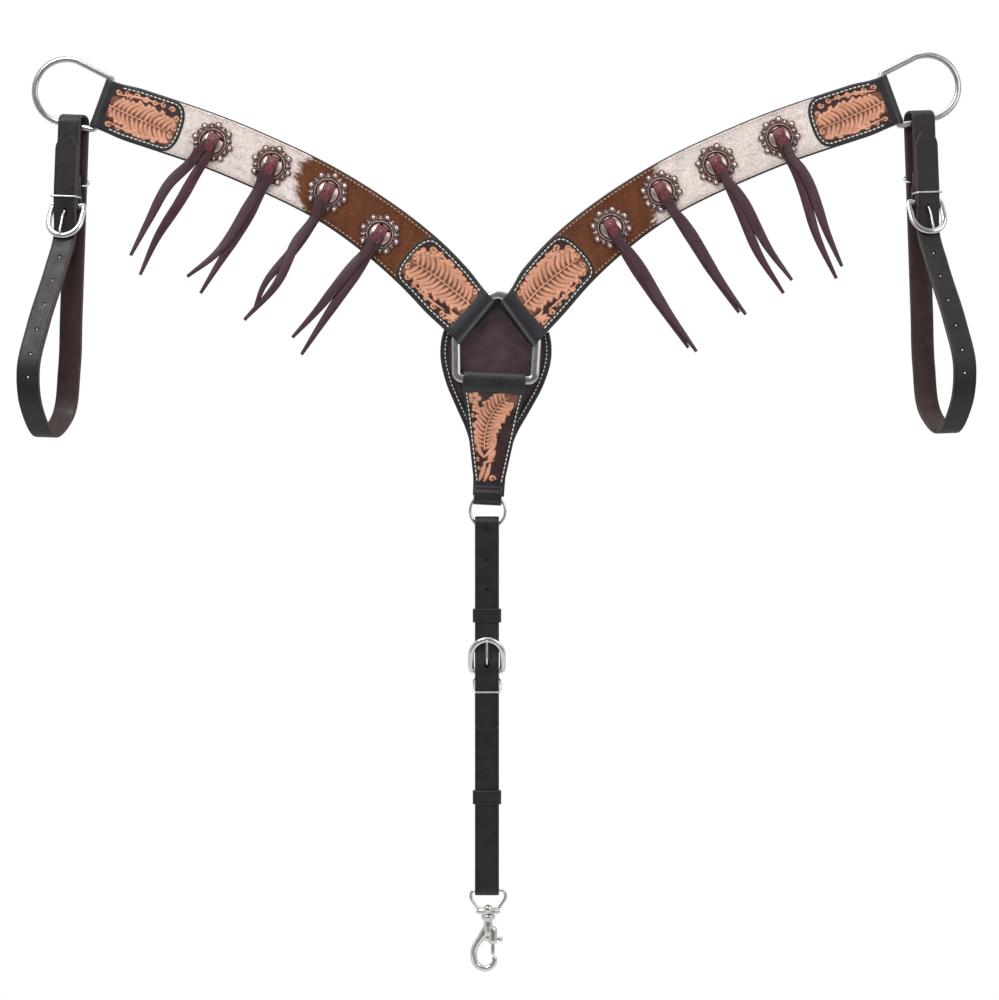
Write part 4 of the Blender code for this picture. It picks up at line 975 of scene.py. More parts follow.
def carve(a, b, strokes):
    """Relief of carved strokes on a grid, each as (line, radii, lift, tone): height, tone and edge."""
    shape = a.shape
    a, b = a.ravel(), b.ravel()
    height, tone, depth = np.zeros(len(a)), np.zeros(len(a)), np.ones(len(a))
    for line, radii, lift, shade in strokes:
        line = np.asarray(line, float)
        radii = np.broadcast_to(np.asarray(radii, float), (len(line),))
        most = radii.max()
        near = np.nonzero((a > line[:, 0].min() - most) & (a < line[:, 0].max() + most)
                          & (b > line[:, 1].min() - most) & (b < line[:, 1].max() + most))[0]
        if not len(near):
            continue
        spot = np.stack([a[near], b[near]], axis=1)
        best = np.full(len(near), 9.0)
        for p, q, r0, r1 in zip(line, line[1:], radii, radii[1:]):
            away, along = to_segment(spot, p, q)
            best = np.minimum(best, away / (r0 + (r1 - r0) * along))
        inside = best < 1
        rise = lift * np.sqrt(np.clip(1 - best**2, 0, 1)) ** 0.7
        over = inside & (rise > height[near])
        height[near[over]] = rise[over]
        tone[near[over]] = shade
        depth[near[over]] = best[over]
    return height.reshape(shape), tone.reshape(shape), depth.reshape(shape)


def curve_through(root, middle, tip, steps=14):
    """An even bend from root to tip, pulled towards middle."""
    t = np.linspace(0, 1, steps)[:, None]
    root, middle, tip = (np.array(p, float) for p in (root, middle, tip))
    return root * (1 - t) ** 2 + middle * 2 * t * (1 - t) + tip * t**2


# Half widths along a feather's barb, as shares of the barbs' pitch.
BARB_WIDTHS = (0.15, 0.25, 0.33, 0.38, 0.41, 0.43, 0.43, 0.43, 0.42, 0.41, 0.40, 0.38)


def feather(root, middle, tip, left, right, barbs):
    """A carved feather: a thin rib, and on each side a row of barbs that sweep towards the tip."""
    rib = curve_through(root, middle, tip, 40)
    run = lengths(rib)
    way = tangents(rib)
    strokes = []
    for sign, spread in ((1, left), (-1, right)):
        side = sign * spread * 0.46
        blade = rib + np.stack([-way[:, 1], way[:, 0]], axis=1) * side + way * spread * 0.25
        swell = 0.75 + 0.45 * np.sin(np.linspace(0.2, 2.6, len(rib)))
        strokes.append((blade, abs(side) * swell, 0.30, -0.9))
        for i in range(barbs):
            share = 0.02 + 0.93 * (i + 0.5 * (sign > 0)) / barbs
            at = share * run[-1]
            base, on = sampled(at, run, rib), sampled(at, run, way)
            out = sign * np.array((-on[1], on[0]))
            reach = spread * (0.38 + 0.62 * math.sin(math.pi * (0.16 + 0.74 * share))) ** 1.2
            reach *= 1 + 0.10 * math.sin(i * 2.4 + sign)
            pitch = 0.93 * run[-1] / barbs
            end = base + out * reach + on * reach * 0.62
            line = curve_through(base + out * 0.0011, base + out * reach * 0.62 + on * reach * 0.02, end, 12)
            ripple = 0.00035 * np.sin(np.linspace(0, 2 * np.pi, 12) + i)
            line = line + np.outer(ripple, on)
            strokes.append((line, pitch * np.array(BARB_WIDTHS), 0.80, 0.55 + 0.25 * (i % 2)))
            hook = end + out * pitch * 0.16 - on * pitch * 0.30
            strokes.append(([end, hook], (pitch * 0.36, pitch * 0.42), 0.93, 1.0))
    strokes.append((rib, np.linspace(0.0009, 0.00045, 40), 1.0, 1.3))
    return strokes


LEAF_TONE = 0.9


def curl(centre, radius, start, sweep, thick=0.0008):
    """A scroll: a stroke that winds in towards its middle, ending in a small bead."""
    turn = np.linspace(0, 1, 18)
    angle = np.radians(start + sweep * turn)
    reach = radius * (1 - 0.72 * turn)
    line = np.stack([centre[0] + reach * np.cos(angle), centre[1] + reach * np.sin(angle)], axis=1)
    return [(line, thick * (0.45 + 0.75 * np.sin(np.pi * (0.15 + 0.8 * turn))), 0.78, 0.85),
            ([line[-1], line[-1] + 1e-5], (thick, thick), 0.85, 1.0)]


def leaf(root, tip, bend, wide):
    """A plain carved leaf or stem between two points, bowed sideways."""
    root, tip = np.array(root, float), np.array(tip, float)
    way = tip - root
    middle = (root + tip) / 2 + np.array((-way[1], way[0])) * bend
    turn = np.linspace(0, 1, 14)
    swell = wide * np.sin(np.pi * (0.12 + 0.80 * turn)) ** 0.8
    return [(curve_through(root, middle, tip), swell, 0.8, LEAF_TONE)]


def blossom(centre, radius):
    """A carved flower: round petals about a ringed eye."""
    petals = 5
    strokes = []
    for i in range(petals):
        angle = 2 * math.pi * (i + 0.25) / petals
        spot = np.array(centre) + radius * 0.62 * np.array((math.cos(angle), math.sin(angle)))
        strokes.append(([spot, spot * 1.00001], (radius * 0.46, radius * 0.46), 0.85, 1.0))
    ring = [np.array(centre) + radius * 0.26 * np.array((math.cos(a), math.sin(a)))
            for a in np.linspace(0, 2 * np.pi, 12)]
    strokes.append((ring, radius * 0.12, 0.95, 0.7))
    return strokes


def edge_distance(a, b, line):
    """Distance of each grid point from a line in the panel's own plane."""
    spot = np.stack([a.ravel(), b.ravel()], axis=1)
    best = np.full(len(spot), 9.0)
    for p, q in zip(line, line[1:]):
        best = np.minimum(best, to_segment(spot, p, q)[0])
    return best.reshape(a.shape)


def rounding(edge, wide, deep):
    """How far a cut edge's rounding lowers the surface, at each distance from that edge."""
    return deep * (1 - np.sqrt(np.clip(1 - (1 - np.clip(edge / wide, 0, 1)) ** 2, 0, 1)))


def carved_panel(a, b, edge, top, strokes, carving, place, thick_at, under=-0.0004):
    """A carved leather panel on a grid. a, b: grid in its plane; edge: distance from its cut edge.

    top is its height, carving is where the carved field starts and ends along a, and
    place(a, b, height) puts it in space.
    """
    rise, tone, inside = carve(a, b, strokes)
    thick = top * thick_at(a)
    field = ease(*FIELD_INSET, edge) * ease(carving[0], carving[0] + 0.0012, a)
    field *= 1 - ease(carving[1] - 0.0012, carving[1], a)
    speckle = RANDOM.uniform(-1, 1, a.shape)
    carved = FIELD_FLOOR + 0.00013 * speckle + RELIEF * rise
    height = field * carved * np.clip(thick * 0.70 / 0.0011, 0, 1)
    height += thick - 0.00025 * np.exp(-((edge - STITCH_INSET) / 0.0006) ** 2)
    height -= rounding(edge, 0.0011, 0.0009)
    ground = mixed(GROUND, GROUND_DARK, 0.5 - 0.5 * speckle)
    bright = mixed(TAN, TAN_LIGHT, np.maximum(tone, 0)) * (1 + 0.72 * np.minimum(tone, 0))[..., None]
    bright = bright * (1 + 0.06 * speckle[..., None])
    stroke = mixed(TAN_DARK, bright, np.clip(1.25 - inside**2 * 1.25, 0, 1))
    color = mixed(BLACK, np.where((rise > 0)[..., None], stroke, ground), field)
    shape = Shape()
    shape.add(place(a, b, height), grid_faces(*a.shape), color.reshape(-1, 3))
    close_under(shape, a.shape, place(a, b, np.full_like(a, under)).reshape(-1, 3), np.array(BLACK_EDGE))
    return shape


def round_ended_grid(first, last, half, spacing=0.00045):
    """A grid that is straight from first, and closes in a rounded end at last."""
    straight = np.arange(first, last - PATCH_ROUND, spacing)
    turn = np.linspace(0, math.pi / 2, 44)
    bow = last - PATCH_ROUND + PATCH_ROUND * np.sin(turn) ** (2 / PATCH_POWER)
    a = np.concatenate([straight, bow])
    narrow = half * np.maximum(np.cos(turn), 1e-6) ** (2 / PATCH_POWER)
    halves = np.concatenate([np.full(len(straight), half), np.maximum(narrow, 0.0004)])
    share = np.linspace(-1, 1, int(2 * half / spacing))
    a, share = np.meshgrid(a, share, indexing="ij")
    return a, share * halves[:, None], halves


def offset_line(line, distance):
    """A line moved sideways, to its right."""
    way = tangents(line)
    return line + np.stack([way[:, 1], -way[:, 0]], axis=1) * distance


def patch_outline(a, halves):
    """The cut edge of a round-ended panel, from the fold along one edge, round the end and back."""
    column = a[:, 0]
    return np.concatenate([np.stack([column, halves], axis=1), np.stack([column, -halves], axis=1)[::-1]])


def make_patch(arm, at_dee, strokes):
    """A carved patch: square where the arm folds, round at its other end."""
    first, last = INNER_PATCH if at_dee else OUTER_PATCH
    a, b, halves = round_ended_grid(first, last, PATCH_HALF)
    outline = patch_outline(a, halves)
    edge = edge_distance(a, b, outline)
    blend = INNER_BLEND if at_dee else OUTER_BLEND

    def place(s, t, height):
        return arm.on(s if at_dee else arm.total - s, t, height)

    def thickness(s):
        return 0.15 + 0.85 * ease(first, blend, s)

    word = "inner" if at_dee else "outer"
    shape = carved_panel(a, b, edge, PATCH_TOP, strokes, (first + 0.0050, last), place, thickness)
    piece(f"{arm.word}_{word}_carving", shape, f"{arm.word}_arm", "tooled_leather",
          replaces=(f"{arm.word}_{word}_patch",))
    thread = Shape()
    line = even(offset_line(even(outline, 0.001), STITCH_INSET), 0.001)
    line = line[line[:, 0] > (0.0105 if at_dee else 0.0130)]
    height = PATCH_TOP * thickness(line[:, 0]) - 0.0001
    stitches(thread, place(line[:, 0], line[:, 1], height), THREAD, pitch=0.0047,
             length=0.0033, radius=0.00056)
    piece(f"{arm.word}_{word}_stitching", thread, f"{arm.word}_arm", "thread")


def border_curls(first, last, half, count, flip=1):
    """Scrolls spaced round the border of a round-ended panel."""
    strokes = []
    inset = 0.0084
    a, _, halves = round_ended_grid(first + 0.006, last - inset, half - inset, 0.001)
    ring = even(patch_outline(a, halves), 0.0005)
    for i in range(count):
        spot = ring[int((i + 0.5) * len(ring) / count)]
        strokes += curl(spot, 0.0031, 90 * i, 330 * (1 if i % 2 else -1) * flip, 0.00105)
    return strokes


def make_patches(arm):
    """The two carved patches: each a feather inside a border of scrolls, with stems beside it."""
    flip = 1 if arm.side > 0 else -1
    first, last = INNER_PATCH
    strokes = border_curls(first, last, PATCH_HALF, 17, flip)
    strokes += leaf((first + 0.030, 0.0150), (last - 0.020, 0.0195), 0.05, 0.0015)
    strokes += curl((last - 0.0185, 0.0165), 0.0034, 60, 300, 0.0011)
    strokes += leaf((first + 0.022, -0.0150), (last - 0.030, -0.0195), -0.05, 0.0014)
    for turn in (-0.30, 0.02, 0.34):
        root = (first + 0.0070, -0.0125 - 0.009 * turn)
        strokes += leaf(root, (first + 0.0175, -0.0165 - 0.020 * turn), turn, 0.0019)
    root, bend, tip = (first + 0.0060, 0.0070), (0.042, 0.0050), (last - 0.0085, -0.0045)
    strokes += feather(root, bend, tip, 0.0165, 0.0160, 13)
    make_patch(arm, True, strokes)
    first, last = OUTER_PATCH
    strokes = border_curls(first, last, PATCH_HALF, 17, -flip)
    strokes += leaf((first + 0.010, -0.0165), (last - 0.028, -0.0190), -0.05, 0.0014)
    strokes += leaf((first + 0.010, 0.0155), (last - 0.028, 0.0190), 0.05, 0.0015)
    strokes += curl((first + 0.0240, 0.0160), 0.0034, 200, -300, 0.0011)
    strokes += curl((first + 0.0400, 0.0175), 0.0030, 30, 300, 0.0010)
    root, bend, tip = (first + 0.0060, 0.0010), (0.042, -0.0040), (last - 0.0085, -0.0060)
    strokes += feather(root, bend, tip, 0.0155, 0.0150, 13)
    make_patch(arm, False, strokes)


# ---------------------------------------------------------------- rings and dees


def make_center_dee():
    """The flat centre dee, leaning half as far as the drop that hangs from it."""
    corners = [(0.0, DEE_APEX_Z), DEE_SHOULDER, DEE_FOOT]
    corners += [(-x, z) for x, z in reversed(corners[1:])]
    apex, shoulder, foot = DEE_CORNERS
    line = rounded(corners, (apex, shoulder, foot, foot, shoulder), steps=10)
    line = even(line + line[:1], 0.0022)[:-1]
    line = upright(line)
    line = line @ np.array(Matrix.Rotation(DROP_LEAN / 2, 3, "Y")).T
    shape = tube(Shape(), line, WHITE, *DEE_WIRE, sides=20, closed=True)
    piece("center_dee_ring", shape, "chest_ring", "dee_steel", replaces=("center_dee",))


def make_outer_dee(word):
    side = SIDES[word]
    bow = arc((OUTER_REACH, 0), OUTER_BOW, 90, -90, 40)
    bar = rounded([bow[-1], (0, -OUTER_BAR), (0, OUTER_BAR), bow[0]],
                  (0, OUTER_CORNER, OUTER_CORNER, 0), closed=False, steps=8)
    middle, outward, up = outer_frame(side)
    line = even(bow + bar[1:], 0.0022)[:-1]
    points = [tuple(middle + outward * u + up * v) for u, v in line]
    shape = tube(Shape(), points, WHITE, *OUTER_WIRE, sides=18, closed=True)
    piece(f"{word}_outer_dee_ring", shape, f"{word}_outer_dee", "dee_steel",
          replaces=(f"{word}_outer_dee",))


def make_lower_ring():
    line = [(RING_X + x, 0.0, RING_Z + z) for x, z in arc((0, 0), RING_RADIUS, 0, 355, 71)]
    shape = tube(Shape(), line, WHITE, RING_WIRE, sides=16, closed=True)
    piece("lower_ring_wire", shape, "lower_ring", "nickel", replaces=("lower_ring",))


# ---------------------------------------------------------------- the drop


def leaned(points):
    """Points of the upright drop, turned to the drop's own lean."""
    return points @ np.array(Matrix.Rotation(DROP_LEAN, 3, "Y")).T


def make_plate():
    """The spade-shaped backing leather: black border, brown middle, stitched down both sides."""
    side = even(smooth(PLATE_SIDE, 8), 0.0011)
    v = lengths(side) / lengths(side)[-1]
    neck = [(0.0, PLATE_NECK_APEX), (0.0034, PLATE_NECK_APEX - 0.0010), PLATE_SHOULDER, PLATE_SIDE[0]]
    neck = np.array(neck)
    u = np.linspace(-1, 1, 121)
    rise = np.interp(np.abs(u) * neck[-1, 0], neck[:, 0], neck[:, 1]) - neck[-1, 1]
    x = side[:, :1] * u
    z = side[:, 1:] + rise * (np.clip(1 - v / 0.55, 0, 1) ** 1.3)[:, None]
    rim = outline_indices(*x.shape)
    outline = np.stack([x.ravel()[rim], z.ravel()[rim]], axis=1)
    edge = edge_distance(x, z, np.concatenate([outline, outline[:1]]))
    inner = ease(*PLATE_BORDER, edge)
    groove = 0.0003 * np.exp(-((edge - PLATE_STITCH) / 0.0005) ** 2)
    height = -rounding(edge, 0.0012, 0.0007) - groove - 0.0004 * inner
    mottle = 0.85 + 0.2 * np.sin(x * 210 + 3 * np.sin(z * 130)) * np.sin(z * 170 + x * 60)
    tint = mixed(BLACK, np.array(PLATE_BROWN) * mottle[..., None], inner)

    def place(x, z, height):
        return leaned(np.stack([x, PLATE_FRONT - height, z], axis=-1))

    shape = Shape()
    shape.add(place(x, z, height), grid_faces(*x.shape), tint.reshape(-1, 3))
    back = place(x, z, np.full_like(x, -PLATE_THICKNESS)).reshape(-1, 3)
    close_under(shape, x.shape, back, np.array(BLACK_EDGE), full=True)
    piece("spade_plate_leather", shape, "drop", "strap_leather", replaces=("spade_plate",), sharp=50)
    thread = Shape()
    line = offset_line(side[v < 0.97], PLATE_STITCH)
    for sign in (-1, 1):
        run = place(sign * line[:, 0], line[:, 1], np.full(len(line), -0.0002))
        stitches(thread, run, THREAD, pitch=0.0043, length=0.0028, radius=0.00055)
    piece("spade_plate_stitching", thread, "drop", "thread")


def drop_line():
    """Side line of the patch's leather, as (depth, height) of its middle, from the tail behind the dee."""
    top = DEE_FOOT[1]
    rest = PLATE_FRONT - GAP - DROP_LAYER / 2
    tail = [(rest - 0.0004, top - 0.030), (rest - 0.0004, top - 0.018), (DROP_FOLD - 0.0002, top - 0.006)]
    face = [(-DROP_FOLD, top - 0.005), (0.0022, top - 0.023), (0.0058, top - 0.038), (0.0063, top - 0.060),
            (0.0063, DROP_FOOT[1])]
    return (smooth([*tail, (DROP_FOLD, top)], 5)[:-1] + arc((0, top), DROP_FOLD, 0, 180, 18)[:-1],
            smooth([(-DROP_FOLD, top), *face], 12))


def drop_half(z):
    """Half width of the patch at each height."""
    top, foot = DEE_FOOT[1], DROP_FOOT[1]
    return np.interp(-np.asarray(z, float), (-(top - 0.008), 0.060, 0.080, -foot),
                     (DROP_HALF, 0.0312, 0.0277, DROP_FOOT[0]))


def make_drop():
    """The tapered carved patch, folded over the dee's bar above, with a plain fold round the ring below."""
    behind, face = (np.array(run) for run in drop_line())
    face = even(face, 0.00045)
    panel = face[lengths(face) > 0.003]
    over = even(behind, 0.0015)
    shape = Shape()
    cut = section(DROP_HALF, DROP_LAYER, cols=15)

    def place(y, z, t):
        return leaned(np.stack([t + 0 * y, y, z], axis=-1))

    fold = np.concatenate([over, face[1:14:3]])
    halves = np.concatenate([np.full(len(over), DROP_HALF - 0.0006), drop_half(face[1:14:3, 1]) - 0.0006])
    halves[:8] = np.linspace(DROP_HALF - 0.006, DROP_HALF - 0.0006, 8)

    def wear_and_sheen(tint, across):
        """Painted highlight: the leather painted paler along the crest of the fold, the rows being in
        reverse.
        """
        share = 0.7 * np.exp(-((fold[:, 0] + 0.0040) / 0.0016) ** 2) * (fold[:, 1] > DEE_FOOT[1])
        share = share[::-1]
        return tint * (1 - share[:, None, None]) + np.array(DROP_CREST_HIGHLIGHT) * share[:, None, None]

    strip(shape, fold[::-1], halves[::-1], cut, place, BAND_TINTS,
          tint_at=wear_and_sheen)
    piece("drop_fold_leather", shape, "drop", "black_leather", sharp=50)

    run = lengths(face)[-len(panel):]
    normal = tangents(panel)
    normal = np.stack([normal[:, 1], -normal[:, 0]], axis=1)
    share = np.linspace(-1, 1, 140)
    a, b = np.meshgrid(run, share, indexing="ij")
    half = drop_half(panel[:, 1])
    b = b * half[:, None]

    def on(a, b, height):
        y, z = (np.interp(a, run, panel[:, k]) + np.interp(a, run, normal[:, k]) * height for k in (0, 1))
        return leaned(np.stack([b, y, z], axis=-1))

    edge = half[:, None] - np.abs(b)
    first, last = 0.0140, run[-1] - 0.004
    strokes = drop_strokes(first, last, run, half)
    shape = carved_panel(a, b, edge, DROP_LAYER / 2 + 0.0004, strokes, (first, last), on,
                         lambda run: 0.65 + 0.35 * ease(0.003, 0.009, run), under=-DROP_LAYER / 2)
    piece("drop_carving", shape, "drop", "tooled_leather", replaces=("drop_patch",))

    thread = Shape()
    for sign in (-1, 1):
        at = np.arange(first + 0.001, last - 0.002, 0.001)
        edge_line = sign * (np.interp(at, run, half) - STITCH_INSET)
        stitches(thread, on(at, edge_line, DROP_LAYER / 2 + 0.0003), THREAD, pitch=0.0045,
                 length=0.0032, radius=0.00056)
    piece("drop_stitching", thread, "drop", "thread")
    make_ring_fold(place)


# The stems between the drop's feather and its foot: root, tip, bow and half width.
DROP_STEMS = (
    ((0.0700, -0.0060), (0.0520, 0.0052), -0.18, 0.0026),
    ((0.0710, -0.0066), (0.0560, -0.0140), 0.20, 0.0024),
    ((0.0745, -0.0010), (0.0640, 0.0045), 0.10, 0.0036),
    ((0.0770, -0.0070), (0.0740, 0.0040), 0.05, 0.0017),
)


def drop_strokes(first, last, run, half):
    """The drop's carving: scrolls, a bowed feather, two flowers, and stems below the feather."""
    strokes = []
    for i in range(7):
        at = first + 0.024 + i * 0.0092
        reach = float(np.interp(at, run, half)) - 0.0078
        strokes += curl((at + 0.003, -reach), 0.0022, 70 * i + 40, -320)
    root, bend, tip = (first + 0.0630, -0.0066), (first + 0.0260, -0.0105), (first + 0.0050, 0.0165)
    strokes += feather(root, bend, tip, 0.0125, 0.0135, 14)
    strokes += blossom((first + 0.0082, -0.0205), 0.0080)
    strokes += blossom((first + 0.0195, -0.0178), 0.0046)
    for root, tip, bow, wide in DROP_STEMS:
        strokes += leaf((first + root[0], root[1]), (first + tip[0], tip[1]), bow, wide)
    strokes += leaf((first + 0.0765, -0.0052), (last - 0.002, -0.0112), 0.05, 0.0027)
    strokes += leaf((first + 0.0775, 0.0002), (last - 0.001, -0.0060), 0.05, 0.0025)
    strokes += curl((last - 0.0058, 0.0030), 0.0036, 90, 300, 0.0013)
    return strokes


def make_ring_fold(place):
    """The plain leather that carries the lower ring, in a deep loop at the drop's foot."""
    pivot = Vector((RING_X, 0.0, RING_Z + RING_PIVOT))
    upright = Matrix.Rotation(-DROP_LEAN, 3, "Y") @ pivot
    leather = 0.0022
    reach = RING_POCKET + leather / 2
    rest = PLATE_FRONT - GAP
    front = [(rest - 0.0052, DROP_FOOT[1] + 0.007), (rest - 0.0060, DROP_FOOT[1] + 0.001),
             (-reach, upright.z + 0.0070), (-reach, upright.z)]
    rear = [(reach, upright.z), (reach, upright.z + 0.004), (rest - leather / 2, upright.z + 0.011),
            (rest - leather / 2, DROP_FOOT[1] + 0.006)]
    path = smooth(front, 5)[:-1] + arc((0, upright.z), reach, 180, 360, 16)[:-1] + smooth(rear, 5)
    path = np.array(path)[::-1]

    def shifted(y, z, t):
        return place(y, z, t + upright.x)

    shape = Shape()
    halves = np.full(len(path), 0.0146)
    strip(shape, path, halves, section(0.0146, leather, cols=9), shifted,
          BAND_TINTS)
    piece("drop_ring_loop", shape, "drop", "black_leather")


# ---------------------------------------------------------------- straps


def arch_tip(path, half, long, power):
    """Half widths along a strap whose first end is cut to an arch."""
    blunt = 0.0012
    run = lengths(path)
    share = np.clip(run / long, 0, 1)
    return blunt + (half - blunt) * np.maximum(1 - (1 - share) ** power, 0.0) ** (1 / power)


def dense_tip(path, long):
    """The path with close steps near its first end and steps of 1.8 mm beyond."""
    run = lengths(path)
    near = long * (np.linspace(0, 1, 15) ** 2)
    return sampled(np.concatenate([near, np.arange(long + 0.002, run[-1], 0.0018), run[-1:]]), run, path)


def depth_at(path, height):
    """Depth of the path's front layer at a height, and the way its surface faces."""
    found = []
    for a, b in zip(path, path[1:]):
        if min(a[1], b[1]) <= height <= max(a[1], b[1]) and a[1] != b[1]:
            t = (height - a[1]) / (b[1] - a[1])
            found.append((a[0] + (b[0] - a[0]) * t, (b[0] - a[0]) / (b[1] - a[1])))
    depth, slope = min(found)
    return depth, Vector((0, 1, -slope)).normalized()


def girth_path():
    """Middle line of the girth strap, as (depth, height), from the billet's tip to the chape's end."""
    heel = GIRTH_HEEL_Z
    fold = RING_POCKET + STRAP_THICKNESS / 2
    top = RING_Z - RING_PIVOT
    foot = GIRTH_FOOT_Z
    eye = GIRTH_EYE_BORE + STRAP_THICKNESS / 2
    near = LAYER / 2 + 0.0002
    over = GIRTH_BAR - CHAPE_BEND - LAYER
    front = [(-near - LAYER - 0.0002, GIRTH_TIP_Z), (-near - LAYER - 0.0002, GIRTH_TIP_Z + 0.020),
             (-2 * LAYER - 0.0003, heel - 0.030), (-2 * LAYER - 0.0003, heel - 0.017),
             (over - 0.0001, heel - 0.004), (over - 0.0001, heel + 0.006),
             (-0.0048, heel + 0.021), (-0.0045, heel + 0.032), (-near, heel + 0.052),
             (-near, top - 0.045),
             (-near - 0.0008, top - 0.025), (-fold, top - 0.006), (-fold, top)]
    line = bent(front)[:-1] + arc((0, top), fold, 180, 0, 18)
    behind = [(fold, top), (fold, top - 0.006), (near + 0.0008, top - 0.025), (near, top - 0.045),
              (near, heel + 0.045), (GIRTH_BAR + CHAPE_BEND + LAYER + 0.0002, heel + 0.004),
              (GIRTH_BAR + CHAPE_BEND + LAYER + 0.0002, heel - 0.005),
              (LAYER + 0.0003, heel - 0.018), (LAYER + 0.0003, heel - 0.028),
              (near, heel - 0.047), (near, foot + 0.030), (eye, foot + 0.006), (eye, foot)]
    line += bent(behind)[1:-1] + arc((0, foot), eye, 0, -180, 12)
    chape = [(-eye, foot), (-eye, foot + 0.006), (-near, foot + 0.030), (-near, heel - 0.047),
             (-LAYER - 0.0003, heel - 0.029), (-LAYER - 0.0003, heel - 0.018),
             (GIRTH_BAR - CHAPE_BEND, heel - 0.003), (GIRTH_BAR - CHAPE_BEND, heel)]
    line += bent(chape)[1:-1] + arc((GIRTH_BAR, heel), CHAPE_BEND, 180, 0, 12)
    end = [(GIRTH_BAR + CHAPE_BEND, heel), (GIRTH_BAR + CHAPE_BEND, heel - 0.005),
           (0.0, heel - 0.018), (0.0, heel - 0.027)]
    return line[:-1] + bent(end)


def tug_path():
    """Middle line of a tug strap about its pivot, as (depth, height), from the billet's tip."""
    fold = TUG_POCKET + STRAP_THICKNESS / 2
    heel = TUG_HEEL_Z
    rise = 0.0032
    front = -fold - LAYER
    loop = [(front, TUG_TIP_Z), (front, -0.045), (front, heel + 0.004),
            (front + 0.0003, heel - 0.003), (-0.0086, heel - 0.016), (-0.0080, heel - 0.030),
            (-0.0200, -0.150), (-0.0470, -0.215), (-0.0600, -0.262), (-0.0520, -0.300),
            (-0.0270, -0.3275), (-0.0030, -0.309), (fold, -0.255), (fold, -0.200),
            (fold, -0.100), (fold, rise)]
    line = smooth(loop, 8)[:-1] + arc((0, rise), fold, 0, 180, 16)[:-1]
    line += [(-fold, rise), (-fold, heel + 0.045), (-fold, heel + 0.010)]
    line += arc((TUG_BAR, heel), CHAPE_BEND, 180, 360, 12)[:-1]
    end = [(TUG_BAR + CHAPE_BEND, heel), (TUG_BAR + CHAPE_BEND, heel + 0.005),
           (-fold + LAYER, heel + 0.019), (-fold + LAYER, heel + 0.030)]
    return line + smooth(end, 4)


def worn_strap(run):
    """What makes a strap's tint a little uneven along it."""
    def tint(colors, across):
        streak = 1 + 0.10 * np.sin(run * 61)[:, None] * np.cos(across * 160)
        return colors * streak[..., None]

    return tint


def make_strap(name, path, half, tip, grain_out, matrix, holes, slot, node):
    """A billet strap: creased edges, a shaped tip, a row of punched holes and a tongue slot."""
    path = dense_tip(path, tip[0])
    halves = arch_tip(path, half, *tip)
    run = lengths(path)
    cut = section(half, STRAP_THICKNESS, cols=11, crease=(0.0024, 0.00022, 0.00045))
    path = path if grain_out else path[::-1]
    halves = halves if grain_out else halves[::-1]

    def place(y, z, t):
        return moved(matrix, np.stack([t + 0 * y, y, z], axis=-1))

    shape = strip(Shape(), path, halves, cut, place, STRAP_TINTS, tint_at=worn_strap(run))
    obj = piece(name, shape, node, "strap_leather", replaces=(node,), sharp=50)
    spots = []
    for height in holes:
        depth, way = depth_at(path.tolist(), height)
        spots.append((matrix @ Vector((0, depth, height)), way))
    low, high = slot
    depth = depth_at(path.tolist(), (low + high) / 2)[0]
    ends = [matrix @ Vector((0, depth, z)) for z in (low, high)]
    # The cut walls of the holes and of the tongue slot are tinted near black: painted shade.
    punch(obj, spots, reach=0.0021, slots=(ends,), waist=HOLE_WAIST, tint=HOLE_PAINTED_SHADE)


def make_girth():
    """The girth strap with its buckle, wire keeper and two leather keepers."""
    matrix = Matrix.Translation((GIRTH_X, 0, 0))
    heel = GIRTH_HEEL_Z
    make_strap("girth_strap_leather", girth_path(), STRAP_HALF, (0.0105, 1.15), True, matrix,
               GIRTH_HOLES, (heel + 0.0065, heel + 0.0105), "girth_strap")
    nodes = ("girth_buckle_frame", "girth_buckle_tongue")
    make_buckle("girth_buckle", matrix, GIRTH_BAR, heel, 1, -0.0080, nodes, nodes)
    back = GIRTH_BAR + 0.0002
    make_wire_keeper("girth_keeper_wire", matrix, STRAP_HALF, -0.0101, back, heel - 0.0078, -0.0140,
                     "girth_wire_keeper")
    for word, height in KEEPERS.items():
        make_leather_keeper(word, height)


def make_leather_keeper(word, height):
    """A creased leather band round both layers of the girth strap."""
    across = STRAP_HALF + 0.0005 + KEEPER_LEATHER / 2
    deep = LAYER + 0.0006 + KEEPER_LEATHER / 2
    corners = [(-across, -deep), (across, -deep), (across, deep), (-across, deep)]
    loop = rounded(corners, (0.0021,) * 4, steps=6)
    loop = even(loop + loop[:1], 0.001)

    def place(x, y, t):
        return np.stack([x + GIRTH_X, y, t + height + 0 * x], axis=-1)

    cut = section(KEEPER_HALF, KEEPER_LEATHER, cols=7, crease=(0.0017, 0.00025, 0.0004))
    shape = strip(Shape(), loop[:-1][::-1], KEEPER_HALF, cut, place, STRAP_TINTS, closed=True)
    piece(f"girth_keeper_{word}_leather", shape, f"girth_keeper_{word}", "strap_leather",
          replaces=(f"girth_keeper_{word}",), sharp=50)


